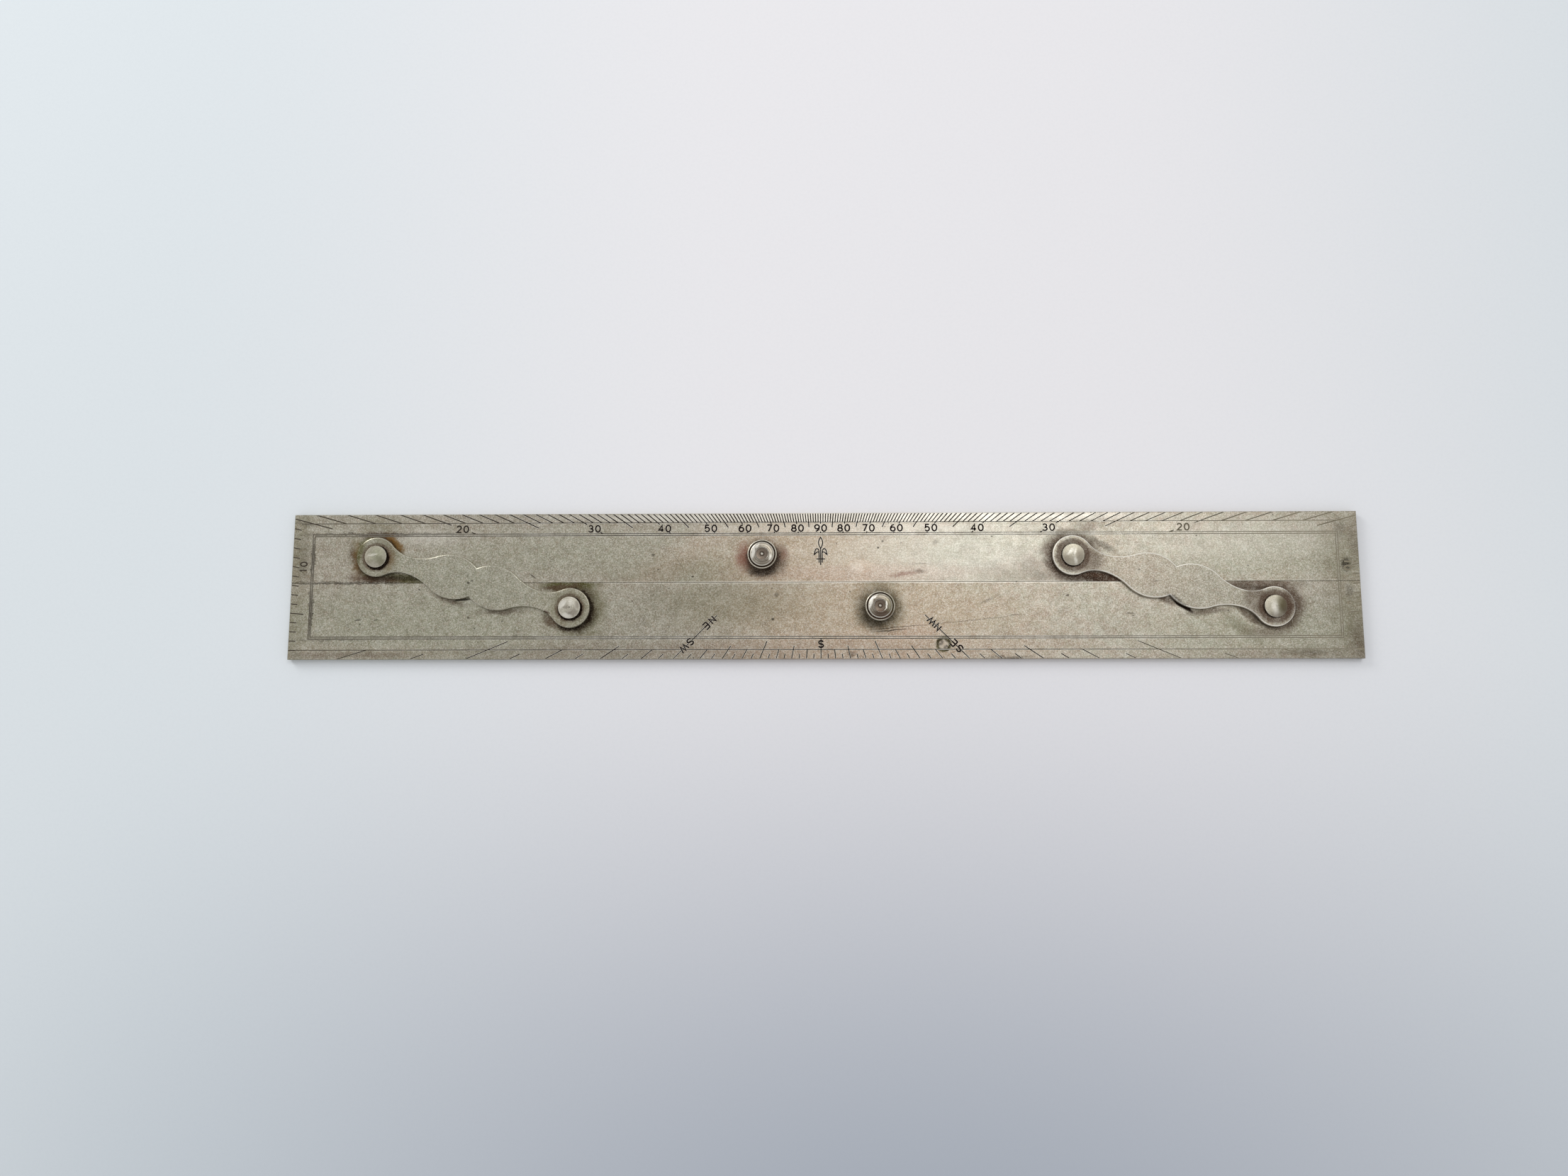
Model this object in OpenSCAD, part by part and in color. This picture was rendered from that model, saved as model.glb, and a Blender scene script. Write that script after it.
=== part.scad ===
// Parallel rule for chart work: two long blades joined by two swinging arms.
// Frame: X along the blades, +Y from the lower blade to the upper one, +Z up.
// The origin is under the middle of the closed rule, on the face it rests on.

/* [Blades] */
// Length of both blades
blade_len = 457.2; // [380:0.1:620]
// Width of the blade with the degree scale
upper_blade_w = 30; // [27:0.1:45]
// Width of the blade with the compass scale
lower_blade_w = 32.9; // [27:0.1:45]
// Thickness of both blades
blade_t = 3; // [2.2:0.1:5]
// Bevel broken along the outer edges and ends of the blades
blade_bevel = 0.25; // [0.1:0.05:0.6]
// Bevel broken along the two edges that meet at the seam
seam_bevel = 0.1; // [0.05:0.05:0.4]
// Gap left at the seam when the rule is closed
seam_gap = 0.1; // [0.05:0.01:0.5]

/* [Linkage] */
// Distance between the two pivots of an arm
arm_pitch = 87; // [78:0.1:110]
// Distance of each row of pivots from the seam
pivot_row = 11.1; // [10:0.1:14]
// Distance of the outer pivots from the ends of the blades
pivot_inset = 37.2; // [15:0.1:60]

/* [Arms] */
// Thickness of the arms
arm_t = 1.6; // [1.2:0.1:3]
// Radius of the eye at each end of an arm
eye_r = 8.6; // [7.5:0.1:9.5]
// Half the width of the arm at its narrow neck
neck_half = 3.8; // [2.5:0.1:6]
// Distance of the neck from the middle of the arm
neck_at = 29.5; // [27:0.1:32]
// Half the width of the arm across its lobes
lobe_half = 9.55; // [8.5:0.05:12]
// Distance of the crown of each lobe from the middle of the arm
lobe_at = 9.5; // [7.5:0.1:11]
// Half the width of the arm between the two cusps
cusp_half = 6.4; // [5.5:0.1:7.5]
// Radius of the rounding along the upper edge of an arm
arm_round = 0.5; // [0.1:0.05:0.8]

/* [Pivot pins] */
// Diameter of the head
pin_head_d = 9.4; // [7.5:0.1:10.5]
// Height of the head
pin_head_t = 1.3; // [0.9:0.1:2.5]
// Rise of the crown of the head, within its height
pin_crown = 0.25; // [0.1:0.05:0.5]
// Diameter of the journal that an arm turns on
journal_d = 5; // [4.4:0.1:6]
// Diameter of the shank in the blade
shank_d = 4; // [3:0.1:4.2]
// Diameter of the peened end
peen_d = 6; // [5.4:0.1:7]
// Height of the peened end
peen_h = 1; // [0.6:0.1:1.5]

/* [Washers] */
// Outer diameter of the running washers
washer_d = 13; // [10:0.5:15]
// Thickness of the running washers
washer_t = 0.3; // [0.2:0.05:0.8]

/* [Knobs] */
// Distance of each knob from the middle of the rule
knob_at = 24.9; // [15:0.1:60]
// Height of a knob above its blade
knob_h = 8; // [7:0.1:14]
// Diameter over the beaded rim
knob_rim_d = 12.4; // [11.6:0.1:16]
// Height of the beaded rim
knob_rim_h = 1.1; // [0.8:0.1:1.6]
// Diameter of the flat-topped crown inside the rim
knob_crown_d = 10.3; // [9:0.1:11]
// Rise of the crown above the rim
knob_crown_h = 1.2; // [0.8:0.1:2]
// Diameter of the dish turned in the crown
knob_dish_d = 5.4; // [4:0.1:6.5]
// Depth of that dish
knob_dish_h = 0.3; // [0.2:0.1:0.8]
// Diameter of the waist
knob_waist_d = 6.6; // [5.8:0.1:8]
// Diameter of the foot
knob_foot_d = 9; // [8:0.1:11]
// Height of the foot
knob_foot_h = 0.9; // [0.6:0.1:1.5]

/* [Graduations] */
// Width of the border and strip lines
line_w = 0.3; // [0.15:0.01:0.35]
// Width of the degree ticks
tick_w = 0.46; // [0.2:0.01:0.5]
// Width of the compass lines
point_w = 0.4; // [0.2:0.01:0.5]
// Depth of the engraved lines
line_h = 0.12; // [0.08:0.01:0.2]
// Width of the strips of ticks along the long edges, where an inner line runs
edge_strip = 4; // [3:0.1:5]
// Length of the degree ticks at the ends of the rule
end_strip = 3.2; // [2.5:0.1:4]
// How far the 5 degree ticks reach in from the upper edge
five_reach = 6.25; // [5.5:0.05:7]
// How far the 5 degree ticks reach in from the ends
end_five_reach = 6; // [5:0.1:7]
// How far the 10 degree ticks reach in from the upper edge, before their numeral
ten_reach = 4.8; // [4.2:0.1:5.2]
// Height of the quarter point ticks above the lower edge
quarter_reach = 2.2; // [1.5:0.1:3]
// Height of the odd whole points, such as S by E
odd_point_reach = 5.6; // [5:0.1:6.5]
// Height of the even whole points, such as SSE
even_point_reach = 7.6; // [7:0.1:8.2]
// Height of the four point lines, at 45 degrees
diagonal_reach = 18.7; // [15:0.1:22]
// Distance of the double border from the long edges
border_edge = 8.75; // [8.5:0.05:10]
// Distance of the double border from the ends
border_end = 8.5; // [8:0.1:12]
// Distance between the two lines of the border
border_gap = 0.85; // [0.6:0.05:1.2]

/* [Knob screws] */
// Diameter of the screws that hold the knobs
screw_d = 2.5; // [2:0.1:3.2]
// Diameter of their countersunk heads
screw_head_d = 4.9; // [4.6:0.1:6]
// Depth of the screw in the knob
screw_reach = 4; // [3:0.1:5]
// Width of the screwdriver slot
slot_w = 0.7; // [0.5:0.05:1]
// Depth of the screwdriver slot
slot_h = 0.6; // [0.4:0.05:0.8]

/* [Clearances] */
// Gap all round a journal in an arm
running_gap = 0.05; // [0.02:0.01:0.1]
// Gap above and below an arm eye
end_play = 0.05; // [0.03:0.01:0.2]
// Gap all round a pin or screw in what it is fixed to
fixed_gap = 0.02; // [0.01:0.01:0.05]
// Depth of the peened ends and screw heads inside the underside
flush_gap = 0.05; // [0:0.01:0.2]

/* [Hidden] */
$fn = 96;

// Arc step of the outlines that are worked out point by point
arc_step = 4;
// The same for the rounded edge of an arm
edge_step = 45;
// Small overrun of cutters past the face they cut
over = 1;

// Plan of the closed rule
half_len = blade_len / 2;
rule_w = lower_blade_w + seam_gap + upper_blade_w;
lower_edge_y = -rule_w / 2;
lower_seam_y = lower_edge_y + lower_blade_w;
upper_seam_y = lower_seam_y + seam_gap;
upper_edge_y = upper_seam_y + upper_blade_w;
seam_y = (lower_seam_y + upper_seam_y) / 2;

// Pivots: the outer ones are the upper left and the lower right one
outer_x = half_len - pivot_inset;
arm_dy = 2 * pivot_row;
arm_dx = sqrt(arm_pitch * arm_pitch - arm_dy * arm_dy);
inner_x = outer_x - arm_dx;
closed_angle = asin(arm_dy / arm_pitch);
lower_row_y = seam_y - pivot_row;
upper_row_y = seam_y + pivot_row;
lower_pivots = [[-inner_x, lower_row_y], [outer_x, lower_row_y]];
upper_pivots = [[-outer_x, upper_row_y], [inner_x, upper_row_y]];
lower_knob_xy = [knob_at, lower_row_y];
upper_knob_xy = [-knob_at, upper_row_y];

// Centres that the two scales are divided from, each at the far edge from its ticks
degree_centre = [0, lower_edge_y];
compass_centre = [0, upper_edge_y];
// A quarter of a compass point, and how many of them fit along half of the lower edge
quarter_point = 90 / 32;
quarters = floor(atan(half_len / rule_w) / quarter_point);
// Length of a 10 degree tick that shows again between its numeral and the border
nub = 0.7;

// Heights of the stack on the blades
arm_z = blade_t + washer_t + end_play;
head_z = arm_z + arm_t + end_play;

// Radii of the arcs of an arm's outline. The lobe passes through its crown and the cusp,
// and the neck is two arcs, tangent to each other at the narrowest place.
half_pitch = arm_pitch / 2;
lobe_rise = lobe_half - cusp_half;
lobe_r = (lobe_at * lobe_at + lobe_rise * lobe_rise) / (2 * lobe_rise);
neck_rise = lobe_half - neck_half;
neck_run = neck_at - lobe_at;
neck_lobe_r = (neck_run * neck_run + neck_rise * neck_rise) / (2 * neck_rise) - lobe_r;
eye_run = half_pitch - neck_at;
neck_eye_r = (eye_run * eye_run + neck_half * neck_half - eye_r * eye_r) / (2 * (eye_r - neck_half));

// Points of an arc about a centre, from one angle to another, without the last point
function arc(centre, r, from, to) =
  let (n = max(1, ceil(abs(to - from) / arc_step)))
  [for (i = [0 : n - 1]) let (a = from + (to - from) * i / n) centre + r * [cos(a), sin(a)]];

// One quarter of an arm's outline, from the cusp to the tip of the eye, drawn in by inset.
// Convex arcs lose the inset from their radius and the hollow ones gain it.
function arm_quarter(inset) =
  let (
    lobe_c = [lobe_at, lobe_half - lobe_r],
    neck_lobe_c = [neck_at, neck_half + neck_lobe_r],
    neck_eye_c = [neck_at, neck_half + neck_eye_r],
    eye_c = [half_pitch, 0],
    to_neck = neck_lobe_c - lobe_c,
    to_eye = eye_c - neck_eye_c,
    lobe_angle = atan2(to_neck.y, to_neck.x),
    eye_angle = atan2(to_eye.y, to_eye.x)
  )
  concat(
    arc(lobe_c, lobe_r - inset, 180 - acos(lobe_at / (lobe_r - inset)), lobe_angle),
    arc(neck_lobe_c, neck_lobe_r + inset, lobe_angle + 180, 270),
    arc(neck_eye_c, neck_eye_r + inset, 270, eye_angle + 360),
    arc(eye_c, eye_r - inset, eye_angle + 180, 0),
    [eye_c + [eye_r - inset, 0]]
  );

// The upper side of the whole outline, from the left tip to the right tip
function arm_side(inset) =
  let (q = arm_quarter(inset), n = len(q))
  concat([for (i = [n - 1 : -1 : 1]) [-q[i].x, q[i].y]], q);

// One level of the arm: the upper side to the right, then the lower side back to the left
function arm_ring(inset, z) =
  let (s = arm_side(inset), n = len(s))
  concat([for (p = s) [p.x, p.y, z]], [for (i = [n - 2 : -1 : 1]) [s[i].x, -s[i].y, z]]);

// The arm's plate along X with its middle at the origin, its upper edge rounded in facets.
// The two flat faces are strips from the upper side straight across to the lower side.
module arm_plate() {
  rings = [
    arm_ring(0, 0),
    for (a = [0 : edge_step : 90])
      arm_ring(arm_round * (1 - cos(a)), arm_t - arm_round * (1 - sin(a)))
  ];
  m = len(rings[0]);
  side = m / 2;
  last = (len(rings) - 1) * m;
  walls = [
    for (k = [0 : len(rings) - 2]) for (i = [0 : m - 1])
      let (j = (i + 1) % m) [k * m + i, k * m + j, (k + 1) * m + j, (k + 1) * m + i]
  ];
  strips = [for (i = [0 : side - 1]) [i, i + 1, (m - i - 1) % m, (m - i) % m]];
  floors = [for (s = strips) [for (k = [3 : -1 : 0]) if (k == 3 || s[k] != s[k + 1]) s[k]]];
  roofs = [for (s = strips) [for (k = [0 : 3]) if (k == 0 || s[k] != s[k - 1]) s[k] + last]];
  polyhedron(points = [for (r = rings) each r], faces = concat(walls, floors, roofs), convexity = 4);
}

// An arm from its lower pivot to its upper pivot, bored for the journals of its pins
module arm(lower_pivot, upper_pivot) {
  middle = (lower_pivot + upper_pivot) / 2;
  run = upper_pivot - lower_pivot;
  color("#B9B09C")
  translate([middle.x, middle.y, arm_z])
  rotate([0, 0, atan2(run.y, run.x)])
  difference() {
    arm_plate();
    for (s = [-1, 1])
      translate([s * half_pitch, 0, -over])
      cylinder(r = journal_d / 2 + running_gap, h = arm_t + 2 * over);
  }
}

// A bar of the blade's section between its outer edge and its seam edge, bevelled all round
module blade_bar(edge, seam) {
  function bevelled(a, a_bevel, b, b_bevel) =
    let (s = sign(a - b), t = blade_t) [
      [a - s * a_bevel, 0], [b + s * b_bevel, 0], [b, b_bevel], [b, t - b_bevel],
      [b + s * b_bevel, t], [a - s * a_bevel, t], [a, t - a_bevel], [a, a_bevel]
    ];
  intersection() {
    rotate([90, 0, 90]) translate([0, 0, -half_len - over])
      linear_extrude(blade_len + 2 * over) polygon(bevelled(edge, blade_bevel, seam, seam_bevel));
    rotate([90, 0, 0]) translate([0, 0, -max(edge, seam) - over])
      linear_extrude(abs(edge - seam) + 2 * over)
        polygon(bevelled(-half_len, blade_bevel, half_len, blade_bevel));
  }
}

// Cutter for a pin's shank, with the countersink that its peened end fills
module pin_hole() {
  r = shank_d / 2 + fixed_gap;
  rotate_extrude()
    polygon([
      [0, -over], [peen_d / 2 + over, -over], [peen_d / 2, 0], [r, peen_h],
      [r, blade_t + over], [0, blade_t + over]
    ]);
}

// Cutter for a knob screw, with the countersink of its head
module screw_hole() {
  r = screw_d / 2 + fixed_gap;
  head_r = screw_head_d / 2 + fixed_gap;
  rotate_extrude()
    polygon([
      [0, -over], [head_r, -over], [head_r, 0], [r, head_r - r],
      [r, blade_t + over], [0, blade_t + over]
    ]);
}

// One engraved line of a given width in plan
module stroke(a, b, w) {
  along = (b - a) / norm(b - a);
  aside = [-along.y, along.x] * w / 2;
  polygon([a + aside, a - aside, b - aside, b + aside]);
}

// Distance along a ray at an angle to where it leaves a box of half width w and height h
function ray_exit(angle, w, h) = min(w / cos(angle), h / sin(angle));

// The stretch of a degree ray between two depths, each given from the ends and the upper edge
module degree_stroke(angle, side, inner, outer) {
  ray = [side * cos(angle), sin(angle)];
  function at(depth) =
    degree_centre + ray * ray_exit(angle, half_len - depth.x, rule_w - depth.y);
  stroke(at(inner), at(outer), tick_w);
}

// Degree ticks for the rays that leave the rule between two heights, on both sides
module degree_ticks(y0, y1) {
  outside = [-over, -over];
  border_in = [border_end, border_edge];
  for (angle = [1 : 90])
    for (side = angle == 90 ? [1] : [-1, 1]) {
      tip_y = lower_edge_y + sin(angle) * ray_exit(angle, half_len, rule_w);
      ten = angle % 10 == 0;
      five = angle % 5 == 0 && !ten;
      inner = five ? [end_five_reach, five_reach] : [end_strip, ten ? ten_reach : edge_strip];
      if (tip_y > y0 && tip_y < y1) {
        degree_stroke(angle, side, inner, outside);
        if (ten) degree_stroke(angle, side, border_in, border_in - [nub, nub]);
      }
    }
}

// One line of the compass scale, from the lower edge up to its reach
module compass_stroke(angle, side, reach) {
  function at(h) = [side * (rule_w - h) * tan(angle), lower_edge_y + h];
  stroke(at(-over), at(reach), point_w);
}

// Compass ticks: quarter points, half points, and odd, even and four point lines
module compass_ticks() {
  for (k = [1 : quarters])
    for (side = [-1, 1])
      compass_stroke(
        k * quarter_point, side,
        k % 16 == 0 ? diagonal_reach : k % 8 == 0 ? even_point_reach
        : k % 4 == 0 ? odd_point_reach : k % 2 == 0 ? edge_strip : quarter_reach
      );
  compass_stroke(0, 1, border_edge);
}

// The inner line of a strip of ticks, along the rule at one height
module strip_line(y, end_in) {
  stroke([end_in - half_len, y], [half_len - end_in, y], line_w);
}

// Double border of one blade, from its seam edge round its outer edge
module border(seam, y) {
  away = sign(y - seam);
  for (inset = [0, border_gap]) {
    line_y = y - away * inset;
    strip_line(line_y, border_end + inset - line_w / 2);
    for (x = [-1, 1] * (half_len - border_end - inset))
      stroke([x, seam - away * over], [x, line_y], line_w);
  }
}

module upper_graduations() {
  degree_ticks(upper_seam_y + tick_w, upper_edge_y + over);
  strip_line(upper_edge_y - edge_strip, end_strip);
  border(upper_seam_y, upper_edge_y - border_edge);
}

module lower_graduations() {
  degree_ticks(lower_edge_y, lower_seam_y - tick_w);
  compass_ticks();
  strip_line(lower_edge_y + edge_strip, 0);
  border(lower_seam_y, lower_edge_y + border_edge);
}

// A blade from its outer edge to the seam, with two pin holes, one knob hole and its
// graduations, which are the children, cut to the depth of an engraved line
module blade(edge, seam, pivots, knob_xy) {
  color("#B5AD98")
  difference() {
    blade_bar(edge, seam);
    for (p = pivots) translate([p.x, p.y, 0]) pin_hole();
    translate([knob_xy.x, knob_xy.y, 0]) screw_hole();
    translate([0, 0, blade_t - line_h]) linear_extrude(line_h + over) children();
  }
}

// A pivot pin in one piece: peened end, shank, journal and crowned head with a centre mark
module pin(p) {
  shank_r = shank_d / 2;
  head_r = pin_head_d / 2;
  top = head_z + pin_head_t;
  crown_r = (head_r * head_r + pin_crown * pin_crown) / (2 * pin_crown);
  edge = 0.08;
  mark_r = 0.28;
  peen_slope = (peen_d / 2 - shank_r) / peen_h;
  crown = [
    for (i = [0 : 6])
      let (x = head_r - edge + (mark_r - head_r + edge) * i / 6)
      [x, top - crown_r + sqrt(crown_r * crown_r - x * x)]
  ];
  color("#C2B7A2")
  translate([p.x, p.y, 0])
  rotate_extrude()
    polygon(concat(
      [
        [0, flush_gap], [peen_d / 2 - peen_slope * flush_gap - fixed_gap, flush_gap],
        [shank_r, peen_h], [shank_r, blade_t], [journal_d / 2, blade_t], [journal_d / 2, head_z],
        [head_r - edge, head_z], [head_r, head_z + edge], [head_r, top - pin_crown - edge]
      ],
      crown,
      [[0, top - mark_r]]
    ));
}

// A thin running washer on the blade, round the journal
module washer(p) {
  color("#A98F55")
  translate([p.x, p.y, blade_t])
  difference() {
    cylinder(d = washer_d, h = washer_t);
    translate([0, 0, -over]) cylinder(r = journal_d / 2 + running_gap, h = washer_t + 2 * over);
  }
}

// A turned finger knob: foot, hollow waist, beaded rim, groove and dished crown with a pip
module knob(p) {
  rim_r = knob_rim_d / 2;
  crown_r = knob_crown_d / 2;
  waist_r = knob_waist_d / 2;
  foot_r = knob_foot_d / 2;
  dish_r = knob_dish_d / 2;
  crown_base = knob_h - knob_crown_h;
  rim_low = crown_base - knob_rim_h;
  chamfer = 0.2;
  groove_w = 0.45;
  groove_h = 0.5;
  bead = min((rim_r - crown_r - groove_w) / 2, 0.45 * knob_rim_h);
  rim_top = rim_low + knob_rim_h - bead;
  land = 0.3;
  edge_w = 0.45 * (crown_r - dish_r - land);
  edge_h = 0.6 * knob_crown_h;
  fall = 0.15 * knob_crown_h;
  pip_r = 0.45;
  pip_h = 0.8 * knob_dish_h;
  throat_r = rim_r - bead;
  waist = [
    for (i = [0 : 12])
      let (t = i / 12, straight = foot_r + (throat_r - foot_r) * t, hollow = sin(180 * pow(t, 0.8)))
      [straight - (straight - waist_r) * hollow, knob_foot_h + (rim_low - knob_foot_h) * t]
  ];
  rim = [
    for (a = [-72 : 18 : 0]) [rim_r - bead, rim_low + bead] + bead * [cos(a), sin(a)],
    for (a = [0 : 15 : 150]) [rim_r - bead, rim_top] + bead * [cos(a), sin(a)]
  ];
  groove = [[crown_r + groove_w, crown_base - groove_h], [crown_r, crown_base - groove_h]];
  crown = [
    for (a = [0 : 11.25 : 90])
      [crown_r - edge_w * (1 - cos(a)), knob_h - fall - edge_h * (1 - sin(a))],
    [dish_r + land, knob_h]
  ];
  dish = [
    for (a = [0 : 18 : 90])
      [pip_r + (dish_r - pip_r) * cos(a), knob_h - knob_dish_h * sin(a)]
  ];
  color("#B3A68F")
  translate([p.x, p.y, blade_t])
  difference() {
    rotate_extrude()
      polygon(concat(
        [[0, 0], [foot_r - chamfer, 0], [foot_r, chamfer], [foot_r, knob_foot_h - chamfer]],
        waist, rim, groove, crown, dish,
        [[pip_r / 2, knob_h - knob_dish_h + pip_h], [0, knob_h - knob_dish_h + pip_h]]
      ));
    translate([0, 0, -over])
      cylinder(d = screw_d + 2 * fixed_gap, h = screw_reach + 2 * fixed_gap + over);
  }
}

// A countersunk slotted screw, driven into the knob from under the blade
module knob_screw(p) {
  r = screw_d / 2;
  head_r = screw_head_d / 2;
  tip = 0.4;
  color("#9C8F6C")
  translate([p.x, p.y, 0])
  difference() {
    rotate_extrude()
      polygon([
        [0, flush_gap], [head_r - flush_gap, flush_gap], [r, head_r - r],
        [r, blade_t + screw_reach - tip], [r - tip, blade_t + screw_reach], [0, blade_t + screw_reach]
      ]);
    translate([-head_r - over, -slot_w / 2, flush_gap - over])
      cube([2 * (head_r + over), slot_w, slot_h + over]);
  }
}

module lower_blade() blade(lower_edge_y, lower_seam_y, lower_pivots, lower_knob_xy) lower_graduations();
module upper_blade() blade(upper_edge_y, upper_seam_y, upper_pivots, upper_knob_xy) upper_graduations();
module left_arm() arm(lower_pivots[0], upper_pivots[0]);
module right_arm() arm(lower_pivots[1], upper_pivots[1]);
module left_lower_pin() pin(lower_pivots[0]);
module left_upper_pin() pin(upper_pivots[0]);
module right_lower_pin() pin(lower_pivots[1]);
module right_upper_pin() pin(upper_pivots[1]);
module left_lower_washer() washer(lower_pivots[0]);
module left_upper_washer() washer(upper_pivots[0]);
module right_lower_washer() washer(lower_pivots[1]);
module right_upper_washer() washer(upper_pivots[1]);
module lower_knob() knob(lower_knob_xy);
module upper_knob() knob(upper_knob_xy);
module lower_knob_screw() knob_screw(lower_knob_xy);
module upper_knob_screw() knob_screw(upper_knob_xy);

lower_blade();
upper_blade();
left_arm();
right_arm();
left_lower_pin();
left_upper_pin();
right_lower_pin();
right_upper_pin();
left_lower_washer();
left_upper_washer();
right_lower_washer();
right_upper_washer();
lower_knob();
upper_knob();
lower_knob_screw();
upper_knob_screw();
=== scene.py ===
"""Parallel rule: finishes, engraving and studio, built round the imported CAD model."""

import math

import bmesh
import bpy
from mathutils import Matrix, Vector


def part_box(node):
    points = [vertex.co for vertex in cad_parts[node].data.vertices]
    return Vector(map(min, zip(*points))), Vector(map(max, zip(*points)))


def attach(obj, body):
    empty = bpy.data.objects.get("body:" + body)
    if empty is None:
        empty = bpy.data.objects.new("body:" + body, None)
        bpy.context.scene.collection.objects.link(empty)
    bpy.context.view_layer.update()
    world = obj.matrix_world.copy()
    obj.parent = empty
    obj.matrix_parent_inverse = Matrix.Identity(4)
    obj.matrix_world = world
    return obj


bl_info = {
    "name": "Parallel rule",
    "version": (1, 0, 0),
    "blender": (4, 5, 0),
    "location": "View3D > Sidebar > Parallel rule",
    "description": "Nickel silver finishes, engraving and studio for the parallel rule",
    "category": "Object",
}

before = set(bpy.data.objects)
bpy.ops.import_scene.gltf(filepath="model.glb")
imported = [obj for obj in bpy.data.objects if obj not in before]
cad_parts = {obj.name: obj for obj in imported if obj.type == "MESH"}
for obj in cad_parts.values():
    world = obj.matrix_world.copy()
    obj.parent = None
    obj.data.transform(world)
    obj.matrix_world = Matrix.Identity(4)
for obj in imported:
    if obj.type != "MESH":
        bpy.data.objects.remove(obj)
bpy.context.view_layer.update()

MM = 0.001

LOWER, UPPER = "lower_part", "upper_part"
BLADES = {LOWER: "lower_blade", UPPER: "upper_blade"}


def linear(paint):
    """An sRGB hex colour, as a colour chart gives it, as the linear colour that Blender mixes."""
    parts = (int(paint[i:i + 2], 16) / 255 for i in (1, 3, 5))
    return tuple(c / 12.92 if c <= 0.04045 else ((c + 0.055) / 1.055) ** 2.4 for c in parts)


def centre_mm(node):
    """The middle of a CAD node in plan, in millimetres."""
    low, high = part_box(node)
    return (low.x + high.x) / 2 / MM, (low.y + high.y) / 2 / MM


LOWER_BOX, UPPER_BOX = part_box("lower_blade"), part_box("upper_blade")
FACE_MM = LOWER_BOX[1].z / MM
LOWER_EDGE_MM = LOWER_BOX[0].y / MM
UPPER_EDGE_MM = UPPER_BOX[1].y / MM
HALF_LENGTH_MM = UPPER_BOX[1].x / MM
PIVOTS = {n: centre_mm(n + "_pin") for n in ("left_upper", "left_lower", "right_upper", "right_lower")}
KNOBS = {n: centre_mm(n) for n in ("upper_knob", "lower_knob")}


# Settings


def colour(name, description, paint):
    """A colour setting, given as sRGB hex."""
    return bpy.props.FloatVectorProperty(
        name=name, description=description, subtype="COLOR", size=3, min=0, max=1, default=linear(paint)
    )


def length(name, description, mm):
    """A length setting, given in millimetres and kept in metres."""
    return bpy.props.FloatProperty(
        name=name, description=description, subtype="DISTANCE", unit="LENGTH",
        min=0, precision=5, default=mm * MM,
    )


class MetalSettings(bpy.types.PropertyGroup):
    """Colours of the nickel silver and of what age has left on it."""

    sheet: colour("Sheet", "Rolled nickel silver where hands keep it clean", "#C6BEAD")
    dull: colour("Dull sheet", "The same sheet under its even grey-olive skin", "#A09A88")
    sage: colour("Green film", "Faint greenish film between the worn places", "#A3A78B")
    blush: colour("Pink film", "Faint pinkish film between the worn places", "#C2A48E")
    warm: colour("Warm tarnish", "Thin straw tarnish where fingers rest, round the middle", "#C4A888")
    brown: colour("Brown tarnish", "Thick tarnish round the pivots", "#523E31")
    amber: colour("Amber tarnish", "Yellow-brown tarnish on the rims of stains", "#7A5A2C")
    olive: colour("Olive tarnish", "Greenish tarnish along joints and ends", "#5A5734")
    # This dark colour is ingrained dirt. It is also painted shadow under the arms' edges, round the pin heads
    # and below the knobs.
    rose: colour("Rose tarnish", "Reddish bloom beside the dirt", "#85584A")
    soot: colour("Ingrained dirt", "Dirt packed round the knobs and heads", "#221913")
    # This bright colour is worn metal. It is also a painted highlight on bevels, along the lower blade's
    # seam, on pin heads and knobs, and painted sheen on the upper blade.
    rubbed: colour("Rubbed metal", "Bright nickel silver on worn crests", "#FAF6EA")
    brass: colour("Brass", "Tarnished brass of washers and screws", "#8F7A4A")
    roughness: bpy.props.FloatProperty(
        name="Roughness", description="Roughness of the aged satin sheet", subtype="FACTOR",
        min=0, max=1, default=0.38,
    )


class EngravingSettings(bpy.types.PropertyGroup):
    """Sizes and colours of the cut and filled marks."""

    wax: colour("Wax", "Dark wax rubbed into the cuts", "#190D08")
    dust: colour("Worn wax", "Wax gone thin, with metal showing through", "#857D69")
    figure_height: length("Figure height", "Height of the degree figures between stroke middles", 2.8)
    figure_width: length("Figure width", "Width of the degree figures between stroke middles", 1.95)
    figure_pitch: length("Figure pitch", "Distance between the two figures of a number", 3.06)
    figure_stroke: length("Figure stroke", "Width of the cut of the figures", 0.65)
    letter_height: length("Letter height", "Height of the compass letters between stroke middles", 2.75)
    letter_stroke: length("Letter stroke", "Width of the cut of the letters", 0.67)
    mark_stroke: length("North mark stroke", "Width of the cut of the north mark", 0.47)
    lip: length("Lip", "Width of the burr that the graver raised beside each cut, since rubbed bright", 0.085)


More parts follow.
